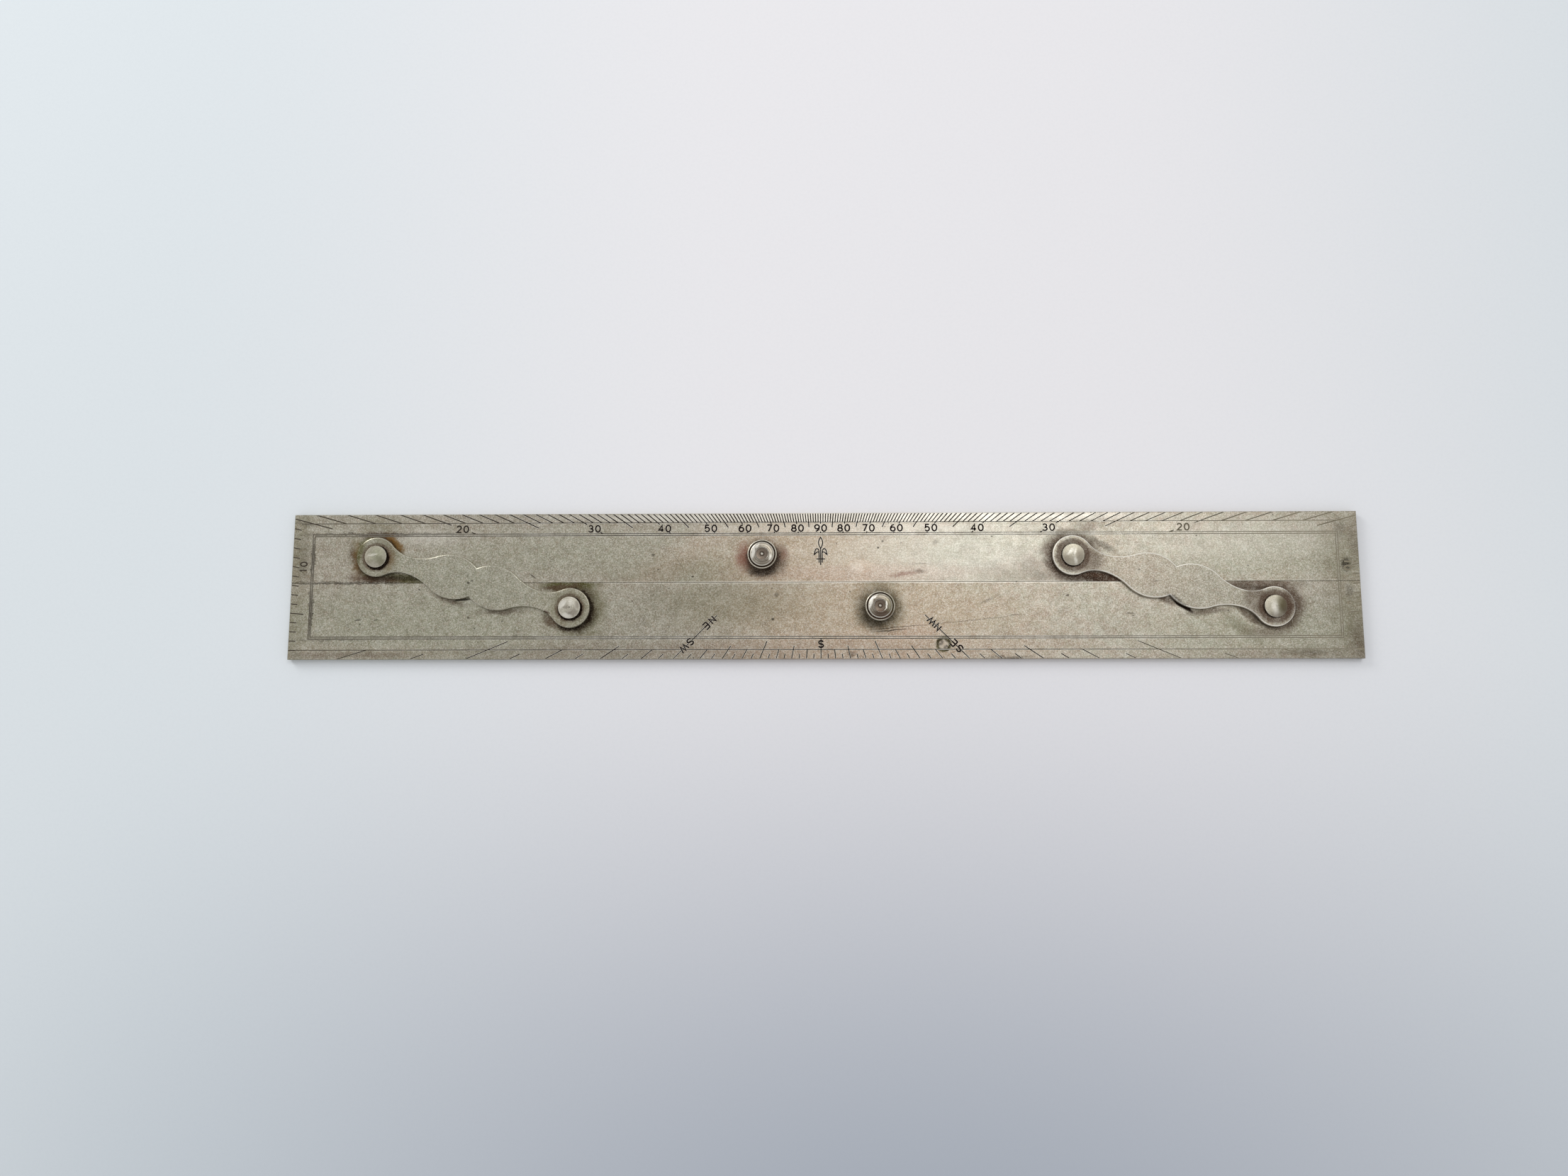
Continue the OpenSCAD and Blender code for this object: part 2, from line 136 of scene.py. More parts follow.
class StudioSettings(bpy.types.PropertyGroup):
    """Camera, lamps and floor."""

    lens: bpy.props.FloatProperty(
        name="Lens", description="Focal length on a 36 mm wide sensor, in millimetres", min=1, default=27.03
    )
    camera_at: bpy.props.FloatVectorProperty(
        name="Camera place", description="Where the camera stands", subtype="TRANSLATION", size=3,
        default=(-0.0049, -0.0686, 0.5020),
    )
    camera_turn: bpy.props.FloatVectorProperty(
        name="Camera turn", description="How the camera is turned", subtype="EULER", size=3,
        default=tuple(math.radians(a) for a in (7.7, 1.24, 0.02)),
    )
    floor: colour("Floor", "Pale card that the rule lies on", "#F0EFF1")
    sky: colour("Room light", "Colour of the even light from all round", "#F5F5F7")
    sky_strength: bpy.props.FloatProperty(
        name="Room light strength", description="Strength of the room light", min=0, default=0.7
    )
    key_power: bpy.props.FloatProperty(
        name="Key lamp", description="Power of the lamp at the upper left", unit="POWER", min=0, default=9.0
    )
    sheen_power: bpy.props.FloatProperty(
        name="Sheen lamp", description="Power of the soft panel that the blades mirror", unit="POWER",
        min=0, default=3.3,
    )


# Materials


def add(tree, kind, inputs=None, out=None, **settings):
    """Adds one node with its inputs, values or links, and its settings, and gives back an output."""
    made = tree.nodes.new("ShaderNode" + kind)
    for name, value in settings.items():
        setattr(made, name, value)
    usable = [s for s in made.inputs if s.enabled]
    for key, value in (inputs or {}).items():
        socket = usable[key] if isinstance(key, int) else next(s for s in usable if s.name == key)
        if isinstance(value, bpy.types.NodeSocket):
            tree.links.new(value, socket)
        elif socket.type == "RGBA":
            socket.default_value = (*value, 1)
        else:
            socket.default_value = value
    return next(s for s in made.outputs if s.enabled and out in (None, s.name))


def new_material(name, x=0.0, y=0.0, turn=0.0):
    """An empty node material, its tree, and coordinates in millimetres from a point of the plan, turned."""
    made = bpy.data.materials.new(name)
    made.use_nodes = True
    tree = made.node_tree
    tree.nodes.clear()
    mm = add(tree, "VectorMath", {0: add(tree, "TexCoord", out="Object"), "Scale": 1 / MM}, operation="SCALE")
    own = {"Vector": mm, "Location": (x, y, 0), "Rotation": (0, 0, math.radians(turn))}
    return made, tree, add(tree, "Mapping", own, vector_type="TEXTURE")


ANY_HEIGHT_MM = 1e3


def closed(made, tree, sockets, heights=(), strength=0.0, depth_mm=0.0):
    """Closes a material with its shader, and with a relief that is summed from weighted heights."""
    if heights:
        height = 0.0
        for value, weight in heights:
            height = add(tree, "Math", {0: value, 1: weight, 2: height}, operation="MULTIPLY_ADD")
        relief = {"Strength": strength, "Distance": depth_mm * MM, "Height": height}
        sockets = {**sockets, "Normal": add(tree, "Bump", relief)}
    output = tree.nodes.new("ShaderNodeOutputMaterial")
    tree.links.new(add(tree, "BsdfPrincipled", sockets), output.inputs["Surface"])
    return made


def patch(tree, mm, x, y, long, wide, soft=0.6, turn=0.0):
    """A mask that is 1 inside a turned ellipse and fades out across its rim, whatever the height."""
    place = {"Vector": mm, "Location": (x, y, 0), "Rotation": (0, 0, math.radians(turn))}
    inside = add(tree, "Mapping", {**place, "Scale": (long, wide, ANY_HEIGHT_MM)}, vector_type="TEXTURE")
    reach = add(tree, "VectorMath", {0: inside}, "Value", operation="LENGTH")
    rim = {"Value": reach, "From Min": 1 + soft, "From Max": 1 - soft}
    return add(tree, "MapRange", rim, interpolation_type="SMOOTHSTEP")


def patches(tree, mm, rows):
    """The strongest of several patches, one a row of a stain table."""
    whole = 0.0
    for x, y, long, wide, strength, *rim in rows:
        mask = patch(tree, mm, x, y, long, wide, *rim)
        one = add(tree, "Math", {0: mask, 1: strength}, operation="MULTIPLY")
        whole = add(tree, "Math", {0: whole, 1: one}, operation="MAXIMUM")
    return whole


def band(tree, mm, x, y, inner, outer, soft, strength):
    """A ring-shaped mask round a point."""
    disc, hole = (patch(tree, mm, x, y, r, r, soft / 2 / r) for r in (outer, inner))
    ring = add(tree, "Math", {0: disc, 1: hole}, operation="SUBTRACT", use_clamp=True)
    return add(tree, "Math", {0: ring, 1: strength}, operation="MULTIPLY")


def uneven(tree, amount, draw, low, high, least=0.0, most=1.0):
    """An amount multiplied by a draw that is spread from one range to another."""
    spread = {"Value": draw, "From Min": low, "From Max": high, "To Min": least, "To Max": most}
    share = add(tree, "MapRange", spread, interpolation_type="SMOOTHSTEP")
    return add(tree, "Math", {0: share, 1: amount}, operation="MULTIPLY")


def stain(tree, base, paint, mask, strength=1.0):
    """A colour laid over the colour so far, through a mask and at a strength."""
    amount = add(tree, "Math", {0: mask, 1: strength}, operation="MULTIPLY")
    return add(tree, "Mix", {"Factor": amount, "A": base, "B": paint}, data_type="RGBA")


def films(tree, metal, base, rows):
    """Thin films laid over a colour, one a row.

    A row is the film's colour, its noise, a low and a high of that noise, and the film's strength at each.
    """
    for kind, draw, low, high, least, most in rows:
        base = stain(tree, base, getattr(metal, kind), uneven(tree, 1.0, draw, low, high, least, most))
    return base


def wander(tree, mm, size, amount):
    """The same coordinates pushed about by noise, so that a stain's rim is never a clean curve."""
    push = add(tree, "TexNoise", {"Vector": mm, "Scale": 1 / size, "Detail": 3, "Roughness": 0.6}, "Color")
    middle = add(tree, "VectorMath", {0: push, 1: (0.5, 0.5, 0.5)}, operation="SUBTRACT")
    far = add(tree, "VectorMath", {0: middle, 1: (amount, amount, 0)}, operation="MULTIPLY")
    return add(tree, "VectorMath", {0: mm, 1: far}, operation="ADD")


def noise(tree, mm, pitch, detail, roughness):
    """Three independent noises of one pitch in millimetres."""
    settings = {"Vector": mm, "Scale": 1 / pitch, "Detail": detail, "Roughness": roughness}
    made = add(tree, "TexNoise", settings, "Color")
    return [add(tree, "SeparateColor", {"Color": made}, part) for part in ("Red", "Green", "Blue")]


def specks(tree, mm, pitch, size, share, strength=1.0):
    """Round specks, one to a cell of the given pitch, kept in only a share of the cells."""
    cells = {"Vector": mm, "Scale": 1 / pitch}
    reach = add(tree, "TexVoronoi", cells, "Distance")
    number = add(tree, "SeparateColor", {"Color": add(tree, "TexVoronoi", cells, "Color")}, "Red")
    kept = add(tree, "Math", {0: number, 1: share}, operation="LESS_THAN")
    return uneven(tree, kept, reach, size / pitch, size / pitch * 0.4, 0, strength)


def crest(tree, full, none):
    """A mask of bevels, for edges that are partly worn bright and partly a painted highlight: 1 where the
    true surface leans as a bevel does, 0 on flats and upright sides.
    """
    true = add(tree, "NewGeometry", out="True Normal")
    up = add(tree, "SeparateXYZ", {"Vector": true}, "Z")
    return uneven(tree, uneven(tree, 1.0, up, none, full), up, 0.15, 0.35)


# What time and tools leave on the sheet, in millimetres. Draw-filing leaves lines 0.1 mm apart, and etching a
# grain 0.05 mm across: both are drawn 0.5 mm across so that the render shows them. The lines run for 20 mm.
FILING_MM, FILING_RUN_MM, GRAIN_MM = 0.5, 20, 0.5
# Handling mottles the sheet at three scales: clouds a finger wide, spots, and blotches between the spots.
CLOUD_MM, SPOT_MM, BLOTCH_MM = 19, 4.5, 1.7


def aged_sheet(name, metal, at, stains, rim):
    """Nickel silver, rolled and draw-filed lengthwise, then handled for years.

    The eye gets a warm grey metal, mottled green and pink, with a soft, slightly streaked reflection,
    olive and brown tarnish that is thickest in corners nobody rubs, painted shade and shadow beside the arms
    and knobs, bright edges that are partly worn and partly a painted highlight, painted sheen and highlight
    in places, pits, freckles and thin scratches.
    """
    made, tree, mm = new_material(name, *at)
    lines = add(tree, "VectorMath", {0: mm, 1: (1 / FILING_RUN_MM, 1 / FILING_MM, 0.5)}, operation="MULTIPLY")
    filing = add(tree, "TexNoise", {"Vector": lines, "Scale": 1, "Detail": 3, "Roughness": 0.7})
    clouds = noise(tree, mm, CLOUD_MM, 5, 0.6)
    spots = noise(tree, mm, SPOT_MM, 6, 0.75)
    blotches = noise(tree, mm, BLOTCH_MM, 4, 0.7)
    grain = noise(tree, mm, GRAIN_MM, 2, 0.6)
    base = films(tree, metal, metal.sheet, (
        ("dull", clouds[0], 0.36, 0.74, 0, 0.75), ("sage", clouds[1], 0.36, 0.74, 0, 0.5),
        ("blush", clouds[2], 0.36, 0.74, 0, 0.4), ("dull", spots[0], 0.36, 0.74, 0, 0.8),
        ("sage", spots[1], 0.36, 0.74, 0, 0.55), ("blush", spots[2], 0.36, 0.74, 0, 0.42),
        ("dull", filing, 0.45, 0.7, 0, 0.35),
    ))
    for kind, size, amount in (("dull", 40, 30), ("warm", 30, 20), ("blush", 8, 8), ("sage", 8, 8)):
        if kind in stains:
            mask = patches(tree, wander(tree, mm, size, amount), stains[kind])
            base = stain(tree, base, getattr(metal, kind), mask)
    base = films(tree, metal, base, (
        ("soot", spots[2], 0.46, 0.7, 0, 0.2), ("rubbed", spots[2], 0.52, 0.3, 0, 0.2),
        ("soot", blotches[0], 0.42, 0.7, 0, 0.11), ("rubbed", blotches[1], 0.42, 0.7, 0, 0.1),
        ("blush", blotches[2], 0.5, 0.7, 0, 0.22), ("sage", blotches[2], 0.5, 0.3, 0, 0.2),
        ("soot", grain[0], 0.38, 0.72, 0, 0.4), ("rubbed", grain[1], 0.4, 0.74, 0, 0.42),
    ))
    # Rubbed patches: worn metal. On the blades they are also a painted highlight along the lower blade's seam
    # and painted sheen on the upper blade.
    if "rubbed" in stains:
        worn = patches(tree, wander(tree, mm, 6, 0.6), stains["rubbed"])
        base = stain(tree, base, metal.rubbed, uneven(tree, worn, filing, 0.85, 0.2, 0.55, 1))
    # Bright bevels: partly worn metal, partly a painted highlight.
    if rim:
        edge = uneven(tree, crest(tree, 0.93, 0.97), spots[1], 0.2, 0.5, 0.6, 1)
        base = stain(tree, base, metal.rubbed, edge, rim)
    ragged = wander(tree, wander(tree, mm, 5, 3), 1.1, 2.4)
    thinned = uneven(tree, uneven(tree, 1.0, spots[2], 0.25, 0.6, 0.72, 1), grain[2], 0.3, 0.6, 0.72, 1.12)
    grime = uneven(tree, 0.05, grain[2], 0.6, 0.8)
    for kind in ("olive", "brown", "rose", "amber", "soot"):
        if kind in stains:
            whole = patches(tree, ragged, stains[kind])
            mask = add(tree, "Math", {0: whole, 1: thinned}, operation="MULTIPLY")
            base = stain(tree, base, getattr(metal, kind), mask)
            grime = add(tree, "Math", {0: grime, 1: mask}, operation="MAXIMUM")
    for x, y, inner, outer, soft, kind, strength in stains.get("rings", ()):
        ring = band(tree, wander(tree, mm, 1.5, 1.1), x, y, inner, outer, soft, strength)
        base = stain(tree, base, getattr(metal, kind), ring, thinned)
        grime = add(tree, "Math", {0: grime, 1: ring}, operation="MAXIMUM")
    large, small = specks(tree, mm, 5.5, 0.5, 0.35), specks(tree, mm, 2.3, 0.26, 0.3, 0.6)
    pits = add(tree, "Math", {0: large, 1: small}, operation="MAXIMUM")
    base = stain(tree, base, metal.soot, pits, 0.6)
    # Scratches, and a few painted shadow lines along the arms' lower edges, all drawn in the dark dirt
    # colour.
    scratches_and_shadow_lines = patches(tree, wander(tree, wander(tree, mm, 6, 1.2), 0.8, 0.35), stains["scratches"])
    base = stain(tree, base, metal.soot, scratches_and_shadow_lines)
    satin = uneven(tree, 1.0, spots[0], 0.3, 0.7, metal.roughness - 0.05, metal.roughness + 0.07)
    rough = add(tree, "Math", {0: grime, 1: 0.2, 2: satin}, operation="MULTIPLY_ADD")
    heights = (filing, 0.35), (grain[0], 0.5), (pits, -1)
    return closed(made, tree, {"Base Color": base, "Metallic": 1.0, "Roughness": rough}, heights, 0.35, 0.03)


# The lathe tool leaves a ring every 0.07 mm or so. The rings are drawn at their real size.
TOOL_MARKS_PER_MM = 15


def turned_metal(name, metal, at, bands, stains, clean, rim):
    """Nickel silver turned in a lathe, rubbed by use and mottled by age.

    The eye gets fine rings round the axis, a fan-shaped gleam, a bright thin edge that is partly worn and
    partly a painted highlight, painted gleams and shade from each piece's table, and dirt left in the
    grooves.
    """
    made, tree, mm = new_material(name, *at)
    flat = add(tree, "VectorMath", {0: mm, 1: (1, 1, 0)}, operation="MULTIPLY")
    reach = add(tree, "VectorMath", {0: flat}, "Value", operation="LENGTH")
    rings = {"W": reach, "Scale": TOOL_MARKS_PER_MM, "Detail": 2}
    tooling = add(tree, "TexNoise", rings, noise_dimensions="1D")
    spots = noise(tree, mm, 1.1, 5, 0.8)
    base = films(tree, metal, metal.dull, (
        ("sheet", spots[0], 0.35, 0.65, 0.1, 0.9),
        ("rubbed", spots[1], 0.3, 0.7, clean - 0.15, clean + 0.15),
        ("sage", spots[2], 0.45, 0.7, 0, 0.4), ("dull", tooling, 0.45, 0.7, 0, 0.4),
    ))
    for inner, outer, soft, kind, strength in bands:
        ring = band(tree, wander(tree, mm, 1.5, 0.35), 0, 0, inner, outer, soft, strength)
        base = stain(tree, base, getattr(metal, kind), ring)
    for kind, rows in stains.items():
        mask = patches(tree, wander(tree, wander(tree, mm, 3, 1.5), 0.7, 0.7), rows)
        base = stain(tree, base, getattr(metal, kind), mask)
    # The bevels are painted bright: partly wear, partly a painted highlight.
    sockets = {
        "Base Color": stain(tree, base, metal.rubbed, crest(tree, 0.75, 0.95), rim), "Metallic": 1.0,
        "Roughness": uneven(tree, 1.0, spots[1], 0.3, 0.7, 0.26, 0.42), "Anisotropic": 0.5,
        "Tangent": add(tree, "Tangent", direction_type="RADIAL", axis="Z"),
    }
    return closed(made, tree, sockets, ((tooling, 0.8), (spots[0], 0.4)), 0.5, 0.03)


def burnished_lip(name, metal):
    """The graver's burr in nickel silver, worn down by hands until it shines.

    The eye gets thin bright lines beside the cuts, broken where tarnish has won, duller towards the ends.
    """
    made, tree, mm = new_material(name)
    wear = noise(tree, mm, 7, 4, 0.7)
    away = add(tree, "Math", {0: add(tree, "SeparateXYZ", {"Vector": mm}, "X")}, operation="ABSOLUTE")
    base = films(tree, metal, metal.rubbed, (
        ("dull", wear[0], 0.35, 0.65, 0.05, 0.75),
        ("dull", away, HALF_LENGTH_MM * 0.5, HALF_LENGTH_MM, 0, 0.8),
    ))
    rough = uneven(tree, 1.0, wear[2], 0.3, 0.7, 0.26, 0.4)
    sockets = {"Base Color": base, "Metallic": 1.0, "Roughness": rough}
    return closed(made, tree, sockets, ((wear[1], 1),), 0.2, 0.01)


def tarnished_brass(name, metal, size):
    """Brass, punched from sheet or turned, then long untouched.

    The eye gets a dull yellow-brown with darker freckles.
    """
    made, tree, mm = new_material(name)
    freckles = noise(tree, mm, size, 4, 0.6)[0]
    base = films(tree, metal, metal.brass, (("brown", freckles, 0.4, 0.7, 0.15, 0.8),))
    rough = uneven(tree, 1.0, freckles, 0.3, 0.7, 0.4, 0.6)
    sockets = {"Base Color": base, "Metallic": 1.0, "Roughness": rough}
    return closed(made, tree, sockets, ((freckles, 1),), 0.3, 0.02)


def filling_wax(name, engraving, fade_left, fade_right):
    """Black engraver's wax, rubbed into the cuts and scraped level.

    The eye gets dark, dull lines, crumbled in places and worn thin towards the ends of the rule.
    """
    made, tree, mm = new_material(name)
    crumbs, runs = noise(tree, mm, 1.5, 4, 0.7)[0], noise(tree, mm, 14, 3, 0.6)[0]
    across = add(tree, "SeparateXYZ", {"Vector": mm}, "X")
    worn = uneven(tree, 0.45, crumbs, 0.5, 0.8)
    for end, fade in ((-HALF_LENGTH_MM, fade_left), (HALF_LENGTH_MM, fade_right)):
        old = uneven(tree, uneven(tree, fade, across, end * 0.35, end), runs, 0.3, 0.65, 0.7, 1.15)
        worn = add(tree, "Math", {0: worn, 1: old}, operation="ADD", use_clamp=True)
    sockets = {
        "Base Color": stain(tree, engraving.wax, engraving.dust, worn), "Specular IOR Level": 0.1,
        "Roughness": uneven(tree, 1.0, crumbs, 0.3, 0.7, 0.5, 0.75),
    }
    return closed(made, tree, sockets, ((crumbs, 1),), 0.4, 0.02)


def pale_card(name, paint):
    """Matt white card with a faint tooth.

    The eye gets a plain ground that takes the shadow, with painted shade that makes it bluer and darker
    towards both ends, and a painted shadow on its near side.
    """
    made, tree, mm = new_material(name)
    tooth = noise(tree, mm, 1.2, 3, 0.5)[0]
    along = add(tree, "Math", {0: add(tree, "SeparateXYZ", {"Vector": mm}, "X"), 1: 50}, operation="SUBTRACT")
    away = add(tree, "Math", {0: along}, operation="ABSOLUTE")
    # Painted shade: the card grows bluer and darker away from a line 50 mm right of the middle.
    painted_end_shade = tuple(c * f for c, f in zip(paint, (0.87, 0.94, 0.95)))
    shade = tuple(c * f for c, f in zip(paint, (0.33, 0.4, 0.48)))
    base = stain(tree, paint, painted_end_shade, uneven(tree, 1.0, away, 60, 360))
    # Painted shadow: a broad dark patch on the card's near side.
    base = stain(tree, base, shade, patch(tree, mm, 40, -300, 300, 175, 0.9), 0.75)
    base = stain(tree, base, shade, uneven(tree, 0.02, tooth, 0.4, 0.7))
    return closed(made, tree, {"Base Color": base, "Roughness": 0.85, "Specular IOR Level": 0.15})


# Tarnish of each blade, with painted shade, shadow, highlights and sheen among it. A row is a patch: x, y and
# the half sizes long and wide, in millimetres of the plan, its strength, and then, where it needs them, its
# softness (else 0.6) and its turn in degrees (else 0). A row of rings is x, y, inner and outer radius and
# softness, in millimetres too, then its colour and its strength.
LOWER_STAINS_AND_PAINTED_LIGHT = {
    "dull": ((-150, -15, 110, 30, 0.5), (-50, -16, 50, 20, 0.8), (215, -20, 30, 20, 0.7)),
    "warm": ((20, -13, 60, 18, 0.55), (6, -10, 5, 6, 0.5, 0.7), (12, -28, 60, 5, 0.45)),
    "sage": ((185, -19, 45, 10, 0.4, 0.7), (-170, -16, 60, 16, 0.5, 0.7)),
    "blush": ((20, -27, 70, 6, 0.4, 0.7), (35, -21, 16, 4, 0.5, 0.6, 4), (-190, -28, 30, 3, 0.2)),
    # This row is a painted highlight: a thin bright line on the lower blade's seam bevel.
    "rubbed": ((20, 1.2, 120, 0.25, 0.7, 0.4),),
    "olive": (
        # The first row, and the brown and dark rows that hug the seam beside the eyes, darken the wedges
        # between the arms and the seam: partly grime, partly painted shade.
        (-108, 0.2, 12.5, 2.6, 0.95, 0.45), (-105, -9.4, 12.6, 11.4, 0.75, 0.35),
        (-103, -19.8, 9, 2.6, 0.45), (-227, -15, 5, 20, 0.28, 0.8), (178, -19, 9, 2.5, 0.4, 0.7, -38),
        (225, -14, 9, 18, 0.4, 0.8), (207, -28.2, 12, 2.4, 0.15, 0.7), (25, -10, 10.4, 10, 0.5, 0.4),
        (-42, -8, 34, 9, 0.34, 0.7), (18, -8, 5, 9, 0.25), (25, 0.4, 8, 1.6, 0.4, 0.7),
    ),
    "brown": (
        (-106.8, -10, 10.4, 10.2, 0.6, 0.2), (-115.6, -15.4, 1.8, 4.6, 0.8, 0.6, 42),
        (-111, -0.6, 8, 1.3, 0.8, 0.5, 4), (193.0, -9.2, 11.3, 11.2, 0.8, 0.22),
        (185, -0.4, 17, 2.6, 0.75, 0.5), (190, -20, 9, 2.4, 0.5), (227, -25, 4, 9, 0.5, 0.8),
        (197, -29.5, 22, 1.8, 0.3, 0.8), (-200, -29.5, 28, 1.3, 0.45, 0.8), (13, -29.4, 1.8, 1.2, 0.55),
        (-75, -28.5, 70, 3.6, 0.28), (-139, -28.5, 16, 3, 0.25), (15, -27.5, 40, 4, 0.12, 0.7),
        # These five rows are thin strips just below the arms' lower edges: partly dirt, partly painted shadow
        # under the arms.
        (140.4, -3.4, 10.5, 1.7, 0.9, 0.5, -27), (164, -11.6, 9, 1.2, 0.6, 0.6, 6),
        (182, -14, 7.5, 1.5, 0.7, 0.5, -36), (-160, -5.8, 8, 1.3, 0.6, 0.6, -20),
        (-137, -11.2, 9, 1.1, 0.6, 0.6, 2),
    ),
    "soot": (
        # The rows round the knob, darkest below it, and the thin rings that hug the arms' eyes are partly
        # dirt and partly painted shadow.
        (24.7, -10.2, 9.2, 8.9, 0.6, 0.35), (24.6, -10.2, 7.2, 7.2, 0.7, 0.14),
        (23.9, -16.2, 5.5, 2.2, 0.6, 0.6, 10), (-106.4, -10.3, 9.4, 9.3, 0.95, 0.1),
        (-101, -15, 6, 3.6, 0.5, 0.5, 40), (-100.5, -4.6, 4, 3, 0.35, 0.6, -50),
        (191.7, -10.2, 9.3, 9.2, 0.4, 0.1), (186, -1.6, 8, 1.4, 0.45, 0.7),
        (-219.6, -10.5, 0.8, 10, 0.85, 0.5), (-206, 1.2, 24, 0.4, 0.6, 0.5),
        (-209, -23, 14, 0.5, 0.45, 0.7), (80, -30.9, 8, 0.6, 0.5, 0.7), (223.5, -2.5, 1.6, 2.4, 0.4, 0.8),
        (204, -29, 9, 0.9, 0.15, 0.7),
    ),
    "scratches": (
        # The first two rows are no scratches. The first is a black crescent by the right arm's lower cusp,
        # partly dirt and partly painted shadow. The second is a painted shadow line just outside the left
        # arm's lower edge.
        (153.1, -8.9, 5.2, 1.1, 1, 0.3, -37), (-153.8, -5.9, 3.8, 0.5, 0.9, 0.4, 7),
        (33.5, -18, 12, 0.16, 0.65, 0.5, 5), (30, -19.4, 7, 0.22, 0.85, 0.5, 4),
        (65, -15, 20, 0.14, 0.5, 0.5, 6), (82.5, -13, 2.6, 0.2, 0.5, 0.4), (131, -12.3, 2, 0.25, 0.55, 0.4),
        (-199, -14.5, 1.3, 0.33, 0.65, 0.4, 12), (-191, -14.7, 1, 0.3, 0.5, 0.4, 10),
        (-151, -13.5, 0.7, 0.5, 0.6, 0.5), (-20.5, -14.5, 0.6, 0.4, 0.8, 0.4),
        (71, -6.5, 2.6, 0.6, 0.35, 0.6, 20), (-19, -4, 1, 0.8, 0.4, 0.5, 60),
        (-173, -1.5, 0.5, 0.4, 0.7, 0.4), (-131, -21.5, 1.2, 0.5, 0.35), (105, -4.5, 0.6, 0.5, 0.6, 0.5),
    ),
    "rings": (
        (52, -25.3, 1.9, 3.4, 0.8, "olive", 0.9), (52, -25.3, 0.3, 2.0, 0.6, "sheet", 0.6),
        (52, -25.3, 2.3, 2.9, 0.6, "soot", 0.5), (50.4, -24.4, 0.3, 1.5, 0.8, "soot", 0.6),
        (53.2, -27, 0.3, 1.3, 0.8, "soot", 0.6), (53.6, -23.3, 0.3, 1.2, 0.6, "soot", 0.5),
    ),
}
